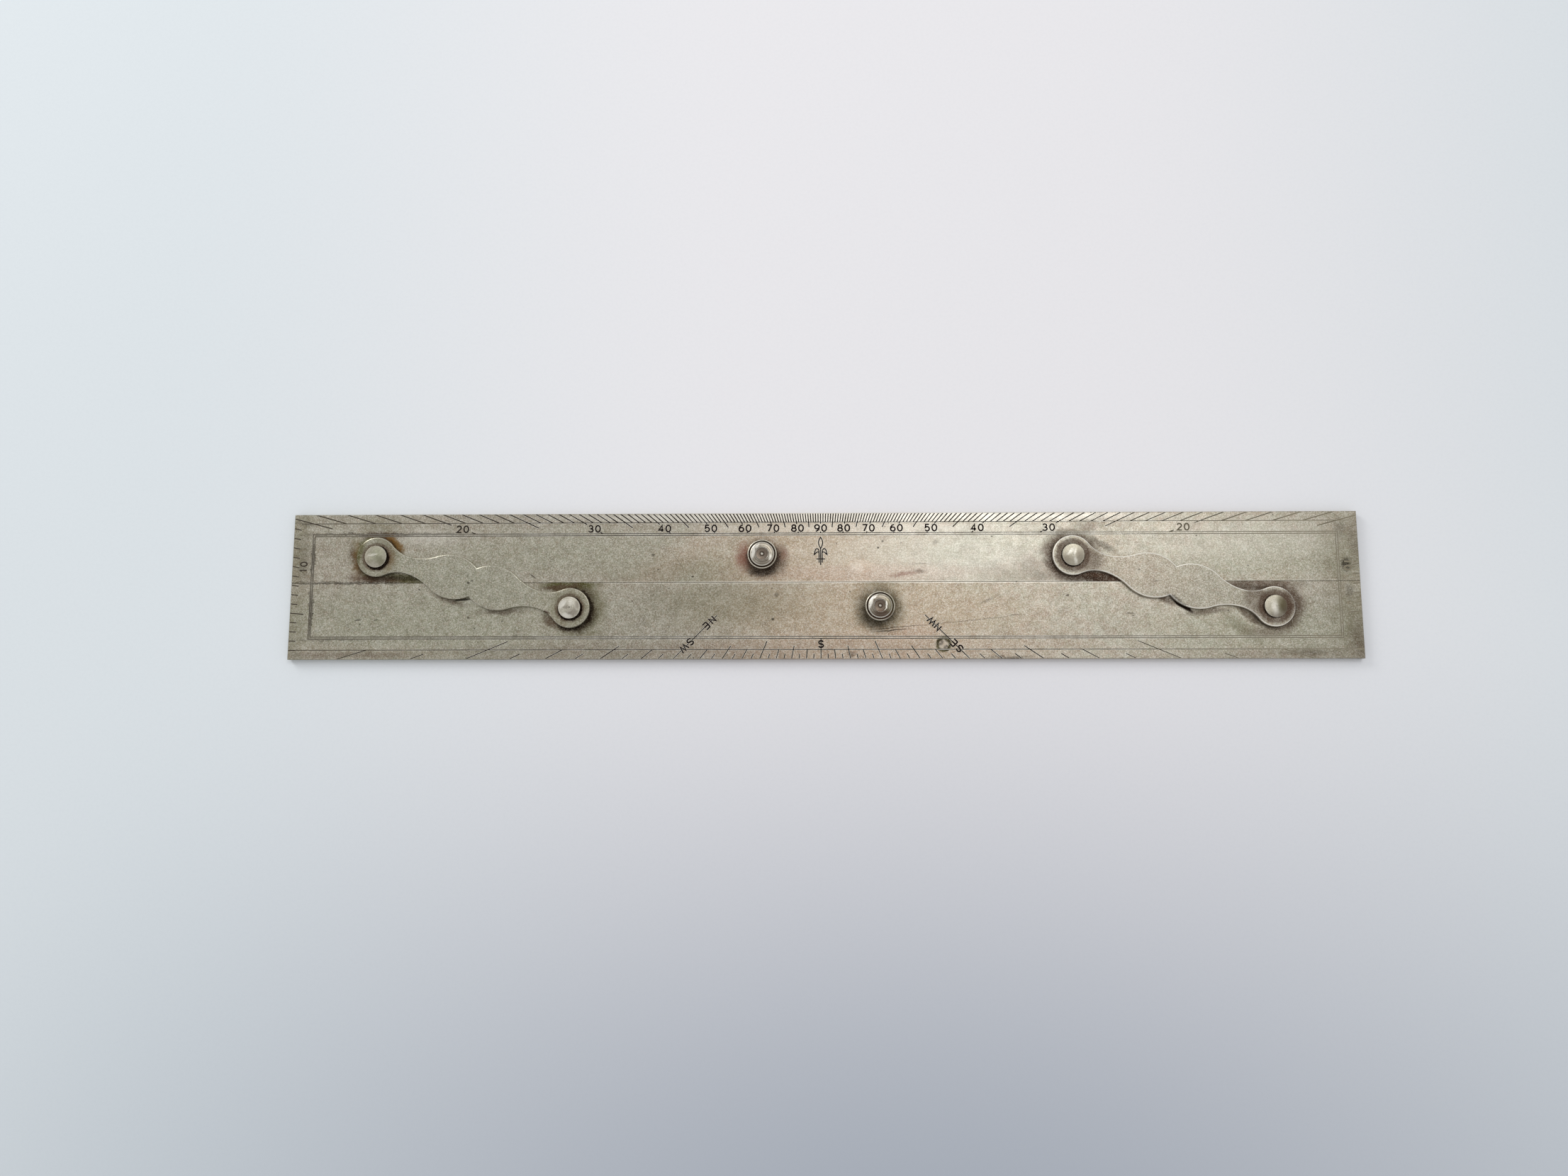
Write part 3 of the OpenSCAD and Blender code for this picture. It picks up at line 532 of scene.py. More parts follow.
UPPER_STAINS_AND_PAINTED_LIGHT = {
    "dull": ((-150, 15, 130, 30, 0.5), (228, 15, 30, 30, 0.3), (35, 4, 50, 4, 0.5)),
    "warm": ((-4, 9, 42, 20, 0.55), (15.5, 8.2, 8, 5, 1, 0.7)),
    "sage": ((-120, 14, 60, 9, 0.35, 0.7), (70, 17, 40, 5, 0.35, 0.8, 4), (190, 12, 40, 10, 0.35, 0.7)),
    "blush": ((20, 5, 45, 3.5, 0.6), (40, 5.5, 12, 2.4, 0.6, 0.6, 6), (-62, 12, 18, 6, 0.4, 0.8, 30)),
    "rubbed": (
        # The long band along the top edge and the broad patch towards the right end are painted sheen,
        # lightening the blade where the lamps' reflection is brightest.
        (18, 29.7, 110, 2.2, 0.75, 0.5), (175, 20, 48, 9, 0.18), (15.5, 8.2, 4, 3, 0.4, 0.8),
        (60, 13, 52, 12, 0.3, 0.7), (-169, 21, 12, 3, 0.3, 0.8), (30, 24.6, 70, 2.4, 0.35),
        (60, 1.75, 150, 0.2, 0.6, 0.5), (40, 21.9, 100, 0.35, 0.5, 0.5),
    ),
    "olive": (
        (-191.6, 12.6, 10.6, 10.2, 0.9, 0.16), (-199.6, 13.5, 3.4, 8, 0.5, 0.7, 8),
        # This row, and the brown and dark rows that hug the seam just below the eyes, darken the wedges
        # between the arms and the seam: partly grime, partly painted shade.
        (-178, 3.2, 14, 2.2, 0.9, 0.5, -4), (-191, 26, 7, 4, 0.4, 0.8), (-227, 15, 5, 20, 0.45, 0.8),
        (224, 12, 11, 16, 0.35, 0.8), (-225, 29, 5, 3, 0.4, 0.7), (-60, 5, 30, 6, 0.3, 0.7),
        (80, 4, 12, 4, 0.16, 0.8),
    ),
    "brown": (
        (-185.6, 18.1, 5.6, 2.1, 1, 0.45, -46), (-190, 22.2, 8, 1.6, 0.85, 0.5),
        (-200.6, 10, 1.6, 7, 0.7, 0.5, 20), (-192, 3.4, 11, 1.8, 0.85, 0.5, -4),
        (106.8, 12.3, 11.9, 11.4, 0.85, 0.28), (101, 5.4, 8, 4.5, 0.4, 0.5, -35),
        (119, 3.3, 14, 2.6, 1, 0.4, -5), (113, 24.2, 7.5, 3, 0.35, 0.8, 30),
        (-24.6, 11.8, 8.8, 8.4, 0.75, 0.35), (-17.2, 11.4, 3, 6, 0.6), (119, 18, 7, 1.2, 0.6, 0.7, -30),
        (227.5, 20, 3, 9, 0.4, 0.8), (42, 6.2, 2.6, 1, 0.5, 0.7), (92, 6, 8, 5, 0.28, 0.7, -40),
    ),
    "rose": (
        (-33.2, 12.8, 3, 5.5, 0.75, 0.7), (-16, 13.5, 2.2, 3.2, 0.35, 0.7),
        (35.5, 4.8, 4.5, 0.9, 0.6, 0.7, 5),
    ),
    "amber": ((-200.8, 12, 1.6, 8, 0.35), (-184, 18.8, 5.4, 1.5, 0.75, 0.5, -46)),
    "soot": (
        # The first three rows, darkest below and to the right of the knob, and the thin rings that hug the
        # arms' eyes are partly dirt and partly painted shadow.
        (-24.6, 6.2, 6, 1.9, 0.75, 0.5, 4), (-24.6, 11.9, 7.2, 7.2, 0.75, 0.14),
        (-20, 8.2, 3.6, 2.4, 0.5, 0.6, 40), (106.9, 11.9, 9.3, 9.2, 0.5, 0.1),
        (102, 5.4, 6, 2.2, 0.4, 0.5, -38), (-191.2, 12.1, 9.2, 9.1, 0.55, 0.1),
        (-180, 3.6, 10, 1.1, 0.6, 0.5, -4), (-190, 3.4, 6, 0.9, 0.5, 0.5), (-190, 22.7, 34, 0.6, 0.6, 0.5),
        (-219.8, 12, 0.8, 9, 0.8, 0.5), (-223.8, 8.4, 1.6, 2.6, 0.35, 0.8), (-223.2, 12, 2.2, 12, 0.2, 0.8),
        (223.2, 8.4, 1.9, 2.6, 0.8, 0.7), (221, 24, 2, 4, 0.3, 0.8), (-206, 1.9, 26, 0.35, 0.55, 0.5),
        (-224, 27.3, 5, 0.5, 0.4, 0.6, -8), (112, 2.6, 9, 1.2, 0.5),
    ),
    "scratches": (
        (-124, 4.2, 1.8, 0.28, 0.65, 0.4, -35), (-151.5, 3.5, 0.6, 0.35, 0.8, 0.4),
        (-72, 13.4, 0.7, 0.5, 0.6, 0.5), (-55, 3.9, 0.5, 0.35, 0.8, 0.5), (26.5, 19, 0.5, 0.4, 0.7, 0.5),
        (24.5, 16.2, 0.5, 0.45, 0.8, 0.5), (49, 18.5, 1.1, 0.8, 0.3, 0.6, 30),
        (42.5, 9.2, 3.6, 0.12, 0.5, 0.5, 4), (-0.5, 24, 0.3, 0.3, 0.5, 0.5),
        (-62, 11.5, 4, 0.14, 0.35, 0.5, -55), (27.5, 25.4, 0.4, 0.3, 0.4, 0.4),
        (139, 4.4, 1, 0.5, 0.5, 0.5),
    ),
}

# The same for the arms, along their own axis from the upper eye to the lower one.
EYE = math.dist(PIVOTS["left_upper"], PIVOTS["left_lower"]) / 2
LEFT_ARM_STAINS_AND_PAINTED_LIGHT = {
    "dull": ((0, 0, 60, 14, 0.75),),
    "warm": ((40, 0, 12, 12, 0.1),),
    "sage": ((0, 0, 60, 12, 0.45, 0.8),),
    "olive": ((-EYE, 0, 9.5, 9.5, 0.35, 0.3), (EYE, 0, 8.5, 8.5, 0.4, 0.3), (-51.4, -0.5, 2, 7, 0.9)),
    "brown": ((-38.4, 2.4, 2.2, 4, 0.4, 0.7, 20), (34, -4.6, 1.6, 0.8, 0.9, 0.5)),
    "amber": ((-37.6, 0.2, 2.2, 4.5, 0.45, 0.7, 10),),
    "scratches": (
        (-1.6, -0.6, 0.6, 0.5, 0.75, 0.5), (-0.4, 0.6, 0.5, 0.4, 0.6, 0.5), (-2.8, 2, 0.4, 0.4, 0.4, 0.5),
    ),
    "rings": (
        # The dark rings just outside the pin heads are set a little to the lower right. They are partly dirt
        # and partly painted shadow cast by the heads.
        (-EYE, 0, 4.2, 6.2, 1.2, "brown", 0.75), (-EYE + 0.4, -0.3, 4.2, 5.3, 0.4, "soot", 1.1),
        (EYE, 0, 4.2, 6.2, 1.4, "brown", 0.7), (EYE + 0.3, -0.3, 4.2, 5.3, 0.4, "soot", 1.2),
    ),
}
RIGHT_ARM_STAINS_AND_PAINTED_LIGHT = {
    "dull": ((0, 0, 50, 14, 0.62),),
    "warm": ((-20, 2, 20, 10, 0.08),),
    "sage": ((20, 0, 16, 12, 0.1, 0.8),),
    "blush": ((-10, 0, 18, 8, 0.12, 0.8),),
    "brown": (
        (34.5, 3.4, 4.6, 2.4, 0.6, 0.5, 12), (48.5, 2.5, 4, 7, 0.75), (38, 0, 7, 6, 0.55),
        (-36, 0, 6, 6, 0.5),
    ),
    # A black crescent by the lower cusp: partly dirt, partly painted shadow.
    "soot": ((3.4, -8.1, 5.2, 1.1, 0.5, 0.35, -21),),
    "scratches": ((-15, 1, 0.6, 0.3, 0.5, 0.4), (-7, -2, 1.4, 0.4, 0.3, 0.6, 20)),
    "rings": (
        # The dark rings just outside the pin heads are partly dirt and partly painted shadow cast by the
        # heads.
        (-EYE, 0, 4.2, 7.2, 1.2, "brown", 0.75), (-EYE, -0.1, 4.2, 5.1, 0.5, "soot", 0.9),
        (EYE, 0, 4.2, 7.2, 1.4, "brown", 0.7), (EYE - 0.2, 0, 4.2, 5.1, 0.6, "soot", 0.6),
    ),
}


def dress(node, made):
    """Gives a CAD node its finish in every slot, leaving its mesh alone."""
    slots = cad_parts[node].data.materials
    for i in range(len(slots)):
        slots[i] = made


def arm_frame(side):
    """The middle of an arm and the angle of its axis at rest, from its two pivots."""
    (ux, uy), (lx, ly) = PIVOTS[side + "_upper"], PIVOTS[side + "_lower"]
    return (ux + lx) / 2, (uy + ly) / 2, math.degrees(math.atan2(ly - uy, lx - ux))


class RULE_OT_finish_sheet_pieces(bpy.types.Operator):
    """Gives the blades and the arms aged nickel silver, each with its own tarnish, painted shade and painted
    highlights
    """

    bl_idname = "rule.finish_sheet_pieces"
    bl_label = "Finish blades and arms"

    def execute(self, context):
        for node, at, stains, rim in (
            (BLADES[LOWER], (0, 0), LOWER_STAINS_AND_PAINTED_LIGHT, 0), (BLADES[UPPER], (0, 0), UPPER_STAINS_AND_PAINTED_LIGHT, 0),
            # The last number sets how strongly each arm's bevels are painted bright: partly wear, partly a
            # painted highlight, strongest on the right arm.
            ("left_arm", arm_frame("left"), LEFT_ARM_STAINS_AND_PAINTED_LIGHT, 0.1),
            ("right_arm", arm_frame("right"), RIGHT_ARM_STAINS_AND_PAINTED_LIGHT, 1.2),
        ):
            name = "aged_nickel_silver_" + node
            dress(node, aged_sheet(name, context.scene.rule_metal, at, stains, rim))
        return {"FINISHED"}


# The same for the pins' heads and the knobs, measured from their axis, after a number for how clean each is.
# A band is a ring round that axis: inner and outer radius, softness, colour and strength.
HEAD_BANDS = (0.12, 0.45, 0.2, "soot", 0.8), (0.7, 1.3, 0.5, "dull", 0.3), (1.9, 2.3, 0.3, "dull", 0.35)
# In these tables the rubbed rows are painted gleams and highlights, most on the upper left and down the
# middle. The brown and olive rows on the lower and right sides are partly tarnish and partly painted shade.
HEAD_STAINS_AND_PAINTED_LIGHT = {
    "left_upper": (0.1, {
        "dull": ((0, 0, 6, 6, 0.2, 0.3),),
        "sage": ((0.5, 1, 3, 3, 0.5, 0.7),),
        "olive": ((2.8, -2.6, 3, 1.6, 0.45, 0.7, -45), (-2.5, -2, 1.4, 1, 0.25, 0.7)),
        "rubbed": ((-1.2, 0.8, 1.8, 0.5, 0.5, 0.7, 10),),
    }),
    "left_lower": (0.3, {
        "brown": (
            (1.6, -2.4, 2.4, 1.6, 0.45, 0.6, 20), (3.4, 1, 0.8, 1.8, 0.4, 0.7, 10),
            (-1.3, 0.3, 1, 0.8, 0.3, 0.8),
        ),
        "rubbed": (
            (-2.8, 1.6, 1, 2.2, 0.7, 0.6, -40), (-0.8, -3.4, 2, 0.8, 0.6, 0.6, -15),
            (0.8, 2.2, 1, 1.4, 0.4, 0.7),
        ),
    }),
    "right_upper": (0.3, {
        "dull": ((0, 0, 6, 6, 0.75, 0.3),),
        "brown": ((-2.8, -1.6, 2, 1.8, 0.35, 0.8), (2.8, -0.4, 1.4, 2.6, 0.35, 0.7)),
        "rubbed": (
            (0.9, -2.6, 0.6, 1.5, 0.5, 0.7, 15), (-1.2, 1.4, 1.8, 0.7, 0.5, 0.7, 45),
            (0.5, 1, 0.5, 1.4, 0.5, 0.7, -20),
        ),
    }),
    "right_lower": (0.15, {
        "dull": ((0, 0, 6, 6, 0.4, 0.3),),
        "brown": ((3.8, 0.4, 2.4, 4.6, 0.75), (0.8, -4, 3.4, 1.4, 0.4, 0.7)),
        "olive": ((2.2, 0.8, 2, 3.4, 0.5, 0.7),),
        "rubbed": ((-0.6, -0.6, 1, 2.6, 0.55, 0.9, 10),),
    }),
}
# The last band, bright in the middle, is a painted highlight on the turning pip.
KNOB_BANDS = (
    (5.1, 5.7, 0.25, "soot", 1), (0.7, 2.7, 0.5, "brown", 0.7), (2.5, 3.0, 0.3, "soot", 0.6),
    (0.5, 1.1, 0.3, "soot", 0.8), (3.3, 3.7, 0.3, "brown", 0.5), (4.2, 4.6, 0.3, "brown", 0.4),
    (0.05, 0.42, 0.1, "rubbed", 1),
)
# The rubbed rows are painted highlights on the crown, most on the upper left. The brown rows low on the crown
# are partly tarnish and partly painted shade.
KNOB_STAINS_AND_PAINTED_LIGHT = {
    "upper_knob": (0.2, {
        "brown": (
            (0, 0, 5.4, 5.4, 0.22, 0.1), (1.5, -3.6, 4.4, 1.8, 0.5, 0.7, 15), (2.6, 2.4, 1.2, 1, 0.4, 0.8),
        ),
        "rubbed": (
            (-3.7, 0.6, 0.55, 2.6, 0.9, 0.5, -8), (-2.2, 3.2, 1.6, 0.5, 0.7, 0.5, 40),
            (3.4, -1.6, 0.5, 1.3, 0.7, 0.6, -20),
        ),
    }),
    "lower_knob": (0.1, {
        "brown": (
            (0, 0, 5.4, 5.4, 0.32, 0.1), (0.8, -3.6, 5, 2.2, 0.85, 0.6, 5), (-1.8, 2, 1.6, 1, 0.6, 0.8, 30),
        ),
        "olive": ((3.8, 0.5, 1.8, 3.6, 0.4, 0.7),),
        "rubbed": (
            (-3.8, 1.4, 0.5, 2.6, 1, 0.5, -15), (-2.6, 3.4, 1.8, 0.45, 0.9, 0.5, 38),
            (2.5, 0.4, 0.35, 1.5, 1, 0.5, -5),
        ),
    }),
}


class RULE_OT_finish_turned_pieces(bpy.types.Operator):
    """Gives the pivot pins and the finger knobs turned nickel silver, rubbed bright, with painted gleams and
    shade, dirty in the grooves
    """

    bl_idname = "rule.finish_turned_pieces"
    bl_label = "Finish pins and knobs"

    def execute(self, context):
        metal = context.scene.rule_metal
        for table, end, places, bands, rim in (
            (HEAD_STAINS_AND_PAINTED_LIGHT, "_pin", PIVOTS, HEAD_BANDS, 0.5), (KNOB_STAINS_AND_PAINTED_LIGHT, "", KNOBS, KNOB_BANDS, 0.7),
        ):
            for place, (clean, stains) in table.items():
                name = "turned_nickel_silver_" + place
                dress(place + end, turned_metal(name, metal, places[place], bands, stains, clean, rim))
        return {"FINISHED"}


class RULE_OT_finish_brass_pieces(bpy.types.Operator):
    """Gives the running washers and the knobs' screws tarnished brass"""

    bl_idname = "rule.finish_brass_pieces"
    bl_label = "Finish washers and screws"

    def execute(self, context):
        for kind, end, places, freckle in (("shim", "_washer", PIVOTS, 2.0), ("screw", "_screw", KNOBS, 1.0)):
            made = tarnished_brass("tarnished_brass_" + kind, context.scene.rule_metal, freckle)
            for place in places:
                dress(place + end, made)
        return {"FINISHED"}


# Engraving


def show(name, mesh, made, body):
    """Puts a mesh into the scene with its material, riding on a body."""
    mesh.materials.append(made)
    piece = bpy.data.objects.new(name, mesh)
    bpy.context.scene.collection.objects.link(piece)
    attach(piece, body)


# The CAD model's cuts and bevels, how far the wax lies below the face, and the burr's two heights.
CUT_DEPTH_MM = 0.12
OUTER_BEVEL_MM, SEAM_BEVEL_MM = 0.25, 0.1
FILL_RECESS_MM = 0.015
LIP_HEIGHT_MM, LIP_ROOT_MM = 0.006, 0.04
# Points that lie closer than this, in metres, count as one.
SAME_PLACE = 1e-6
# A mitre grows no longer than where its slope is this small, so that a sharp corner doesn't make a spike.
TRIM_SLOPE, INNER_SLOPE, OUTER_SLOPE, STROKE_SLOPE = 0.25, 0.2, 0.5, 0.45
BAR_SIDES = (0, 1), (1, 3), (3, 2), (2, 0)


def cut_floors(node):
    """The floors of a blade's cuts, trimmed where the blade's bevels begin, and those four trim lines."""
    low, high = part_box(node)
    low_bevel = SEAM_BEVEL_MM if node == BLADES[UPPER] else OUTER_BEVEL_MM
    high_bevel = SEAM_BEVEL_MM if node == BLADES[LOWER] else OUTER_BEVEL_MM
    work = bmesh.new()
    work.from_mesh(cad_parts[node].data)
    floor_z = (FACE_MM - CUT_DEPTH_MM) * MM
    other = [f for f in work.faces if any(abs(v.co.z - floor_z) > SAME_PLACE for v in f.verts)]
    bmesh.ops.delete(work, geom=other, context="FACES")
    bmesh.ops.remove_doubles(work, verts=work.verts, dist=SAME_PLACE)
    trims = []
    for corner, way, bevel in (
        (low, (-1, 0, 0), OUTER_BEVEL_MM), (high, (1, 0, 0), OUTER_BEVEL_MM),
        (low, (0, -1, 0), low_bevel), (high, (0, 1, 0), high_bevel),
    ):
        at = corner - Vector(way) * bevel * MM
        bmesh.ops.bisect_plane(
            work, geom=work.verts[:] + work.edges[:] + work.faces[:], dist=SAME_PLACE / 10,
            plane_co=at, plane_no=way, clear_outer=True,
        )
        trims.append((at, Vector(way)))
    bmesh.ops.dissolve_limit(work, angle_limit=0.001, verts=work.verts, edges=work.edges)
    for f in work.faces:
        if f.normal.z < 0:
            f.normal_flip()
    return work, trims


def solid_from(work, name):
    """A bmesh with its faces turned outward, as a mesh."""
    bmesh.ops.recalc_face_normals(work, faces=work.faces)
    mesh = bpy.data.meshes.new(name)
    work.to_mesh(mesh)
    work.free()
    return mesh


def fill_of(node):
    """Wax in a blade's cuts, raised from the cuts' floors to just under the face."""
    work, _ = cut_floors(node)
    raised = bmesh.ops.extrude_face_region(work, geom=work.faces[:], use_keep_orig=True)
    for v in raised["geom"]:
        if isinstance(v, bmesh.types.BMVert):
            v.co.z += (CUT_DEPTH_MM - FILL_RECESS_MM) * MM
    return solid_from(work, node + "_wax")


def lips_of(node, width):
    """The burr along both sides of a blade's cuts: low closed bars just outside the cuts' outlines."""
    floors, trims = cut_floors(node)
    work = bmesh.new()
    rails = {}

    def trimmed(edge):
        """Says whether an edge lies on a trim line, where the cut runs out over the bevel."""
        return any(all(abs((v.co - at).dot(way)) < 2 * SAME_PLACE for v in edge.verts) for at, way in trims)

    def heading(side):
        along = side.link_loop_next.vert.co - side.vert.co
        return Vector((along.x, along.y)).normalized()

    def out(way):
        return Vector((way.y, -way.x))

    def rail(before, after):
        """Four corners of the burr's section at the vertex where two outline edges meet."""
        key = (before.index, after.index)
        if key not in rails:
            a, b = heading(before), heading(after)
            if trimmed(before.edge):
                reach = a * (width / max(a.dot(out(b)), TRIM_SLOPE))
            elif trimmed(after.edge):
                reach = -b * (width / max(-b.dot(out(a)), TRIM_SLOPE))
            else:
                middle = (out(a) + out(b)).normalized()
                least = INNER_SLOPE if a.cross(b) < 0 else OUTER_SLOPE
                reach = middle * width / max(middle.dot(out(a)), least)
            foot = Vector((after.vert.co.x, after.vert.co.y))
            rails[key] = [
                work.verts.new((p.x, p.y, (FACE_MM + z) * MM))
                for p in (foot, foot + reach) for z in (-LIP_ROOT_MM, LIP_HEIGHT_MM)
            ]
        return rails[key]

    floors.edges.index_update()
    sides = [e.link_loops[0] for e in floors.edges if len(e.link_loops) == 1]
    for number, side in enumerate(loop for face in floors.faces for loop in face.loops):
        side.index = number

    def following(side):
        onward = side.link_loop_next
        while len(onward.edge.link_loops) > 1:
            onward = onward.link_loop_radial_next.link_loop_next
        return onward

    after_of = {side.index: following(side) for side in sides}
    before_of = {after.index: side for side in sides for after in [after_of[side.index]]}
    for side in sides:
        if trimmed(side.edge):
            continue
        start, end = rail(before_of[side.index], side), rail(side, after_of[side.index])
        for i, j in BAR_SIDES:
            work.faces.new((start[i], start[j], end[j], end[i]))
        for corner, neighbour in ((start, before_of[side.index]), (end, after_of[side.index])):
            if trimmed(neighbour.edge):
                work.faces.new((corner[0], corner[1], corner[3], corner[2]))
    floors.free()
    return solid_from(work, node + "_lips")


def wax_and_burr(context, place, fade_left=0.0, fade_right=0.0):
    """The materials of one set of cuts: the wax in them, with its fading at both ends, and the burr."""
    wax = filling_wax("engravers_wax_in_" + place, context.scene.rule_engraving, fade_left, fade_right)
    return wax, burnished_lip("burnished_burr_of_" + place, context.scene.rule_metal)


class RULE_OT_fill_graduations(bpy.types.Operator):
    """Fills the degree and compass cuts of both blades with dark wax, and raises the burr beside them"""

    bl_idname = "rule.fill_graduations"
    bl_label = "Fill graduations"

    def execute(self, context):
        engraving = context.scene.rule_engraving
        wax, bright = wax_and_burr(context, "graduations", fade_left=0.22, fade_right=0.95)
        for body, node in BLADES.items():
            mesh = fill_of(node)
            if not mesh.polygons:
                raise RuntimeError(f"{node} has no cuts to fill")
            show(node + "_graduations", mesh, wax, body)
            show(node + "_graduation_lips", lips_of(node, engraving.lip), bright, body)
        return {"FINISHED"}


def bow(x, y, wide, high, start, end, steps=14):
    """Points of part of an ellipse, from one angle to another in degrees."""
    turns = (math.radians(start + (end - start) * i / steps) for i in range(steps + 1))
    return [(x + wide * math.cos(a), y + high * math.sin(a)) for a in turns]


def loop(x, y, wide, high):
    """Points of a whole ellipse."""
    return bow(x, y, wide, high, 90, 450, 28)


# The engraver's gothic, as pen strokes in a box from -1 to 1 both ways.
STROKES = {
    "0": (loop(0, 0, 1, 1),),
    "1": ([(-0.45, 0.55), (0.1, 1), (0.1, -1)],),
    "2": (bow(-0.05, 0.42, 0.92, 0.58, 165, -25) + [(-0.95, -1), (1, -1)],),
    "3": (bow(-0.05, 0.5, 0.8, 0.5, 160, -90) + bow(-0.05, -0.5, 0.98, 0.5, 90, -160),),
    "4": ([(0.4, -1), (0.4, 1), (-1, -0.45), (1, -0.45)],),
    "5": ([(0.8, 1), (-0.65, 1), (-0.8, 0.05)] + bow(-0.02, -0.35, 0.95, 0.65, 140, -155),),
    "6": (bow(0.65, -0.3, 1.62, 1.3, 92, 178), loop(0, -0.38, 0.97, 0.62)),
    "7": ([(-0.95, 1), (0.95, 1), (-0.3, -1)],),
    "8": (loop(0, 0.5, 0.78, 0.5), loop(0, -0.5, 0.98, 0.5)),
    "9": (bow(-0.65, 0.3, 1.62, 1.3, 272, 358), loop(0, 0.38, 0.97, 0.62)),
    "N": ([(-1.06, -1), (-1.06, 1), (1.06, -1), (1.06, 1)],),
    "E": (
        [
            (1.15, 1), (-0.8, 1), (-1.05, 0.9), (-1.12, 0.7),
            (-1.12, -0.7), (-1.05, -0.9), (-0.8, -1), (1.15, -1),
        ],
        [(-1.12, 0), (1.15, 0)],
    ),
    "S": (bow(0, 0.49, 1.02, 0.51, 12, 270) + bow(0, -0.51, 1.12, 0.51, 90, -165),),
    "W": ([(-1.88, 1), (-0.95, -1), (0, 1), (0.95, -1), (1.88, 1)],),
}


def ribbon(work, points, width, bottom, top):
    """One cut filled with wax: a closed flat bar of even width along the points, mitred at its corners."""
    bare = [Vector(p) for p in points]
    points = bare[:1] + [p for last, p in zip(bare, bare[1:]) if (p - last).length > SAME_PLACE]
    ring = (points[0] - points[-1]).length < SAME_PLACE
    if ring:
        points = points[:-1]
    count = len(points)
    rails = []
    for i, p in enumerate(points):
        before = points[i - 1] if ring or i else None
        after = points[(i + 1) % count] if ring or i < count - 1 else None
        pairs = [(a, b) for a, b in ((before, p), (p, after)) if a is not None and b is not None]
        ways = [(b - a).normalized() for a, b in pairs]
        along = sum(ways, Vector((0, 0))).normalized()
        side = Vector((-along.y, along.x))
        lean = abs(side.dot(Vector((-ways[0].y, ways[0].x))))
        reach = width / 2 / max(lean, STROKE_SLOPE)
        rails.append([work.verts.new((*(p + side * s * reach), z)) for z in (bottom, top) for s in (-1, 1)])
    links = [(rails[i], rails[(i + 1) % count]) for i in range(count if ring else count - 1)]
    for a, b in links:
        for i, j in BAR_SIDES:
            work.faces.new((a[i], a[j], b[j], b[i]))
    if not ring:
        for end in (rails[0], rails[-1]):
            work.faces.new((end[0], end[1], end[3], end[2]))


# How far a stroke's wax and burr rise above the face and reach below it. Neighbouring strokes differ in
# height by a hair, so that no two tops lie in one plane.
WAX_RISE_MM, BURR_RISE_MM, STROKE_ROOT_MM = 0.012, 0.004, 0.05
HAIR_MM, HAIR_TURNS = 0.0004, 5


def cut(name, strokes, width, lip, made, body, first=0):
    """Filled cuts along lists of points in metres of the plan, and the bright burr that shows beside them."""
    wax, bright = made
    parts = (name, width, WAX_RISE_MM, wax), (name + "_lips", width + 2 * lip, BURR_RISE_MM, bright)
    for part, wide, rise, finish in parts:
        work = bmesh.new()
        for i, points in enumerate(strokes, first):
            top = FACE_MM + rise + HAIR_MM * (i % HAIR_TURNS)
            ribbon(work, points, wide, (FACE_MM - STROKE_ROOT_MM) * MM, top * MM)
        show(part, solid_from(work, part), finish, body)


def written(sign, x, y, wide, high, turn=0.0):
    """The strokes of one figure or letter, centred at a point of the plan and turned, in metres."""
    c, s = math.cos(math.radians(turn)), math.sin(math.radians(turn))
    w, h = wide / 2, high / 2
    return [
        [(x + u * w * c - v * h * s, y + u * w * s + v * h * c) for u, v in stroke]
        for stroke in STROKES[sign]
    ]


# The burr beside strokes is worn narrower than beside the graduations, and most beside the line of the S.
STROKE_LIP, SOUTH_LIP = 0.7, 0.5
FIGURE_ROW_MM = 24.9
END_FIGURES_MM = 223.6, 8.4
END_FIGURE_SHARE = 0.9


class RULE_OT_engrave_figures(bpy.types.Operator):
    """Cuts and fills the degree figures along the upper blade and at its ends"""

    bl_idname = "rule.engrave_figures"
    bl_label = "Engrave degree figures"

    def execute(self, context):
        engraving = context.scene.rule_engraving
        wide, high, pitch = engraving.figure_width, engraving.figure_height, engraving.figure_pitch
        rise = (FIGURE_ROW_MM - LOWER_EDGE_MM) * MM
        strokes = []
        for side in (-1, 1):
            for degrees in range(20, 100, 10):
                if degrees == 90 and side > 0:
                    continue
                x = side * rise / math.tan(math.radians(degrees))
                for sign, step in zip(str(degrees), (-0.5, 0.5)):
                    strokes += written(sign, x + step * pitch, FIGURE_ROW_MM * MM, wide, high)
            out, up = END_FIGURES_MM[0] * MM * side, END_FIGURES_MM[1] * MM
            for sign, step in zip("10", (-0.5, 0.5)):
                y = up - side * step * pitch * END_FIGURE_SHARE
                strokes += written(sign, out, y, wide * END_FIGURE_SHARE, high, -90 * side)
        made = wax_and_burr(context, "figures", fade_left=0.15, fade_right=1.0)
        cut("degree_figures", strokes, engraving.figure_stroke, engraving.lip * STROKE_LIP, made, UPPER)
        return {"FINISHED"}


SOUTH_LETTER_MM = -25.15
SOUTH_LINE_HALF_MM, SOUTH_LINE_SHARE = 2.3, 0.55
LETTER_SHAPE = 0.64
# The letters of each side, with their distances from the middle of the upper edge.
COMPASS_LETTERS_MM = {
    -1: (("N", 65.5), ("E", 69.1), ("S", 78.7), ("W", 82.5)),
    1: (("W", 66.6), ("N", 70.1), ("E", 79.5), ("S", 83.0)),
}


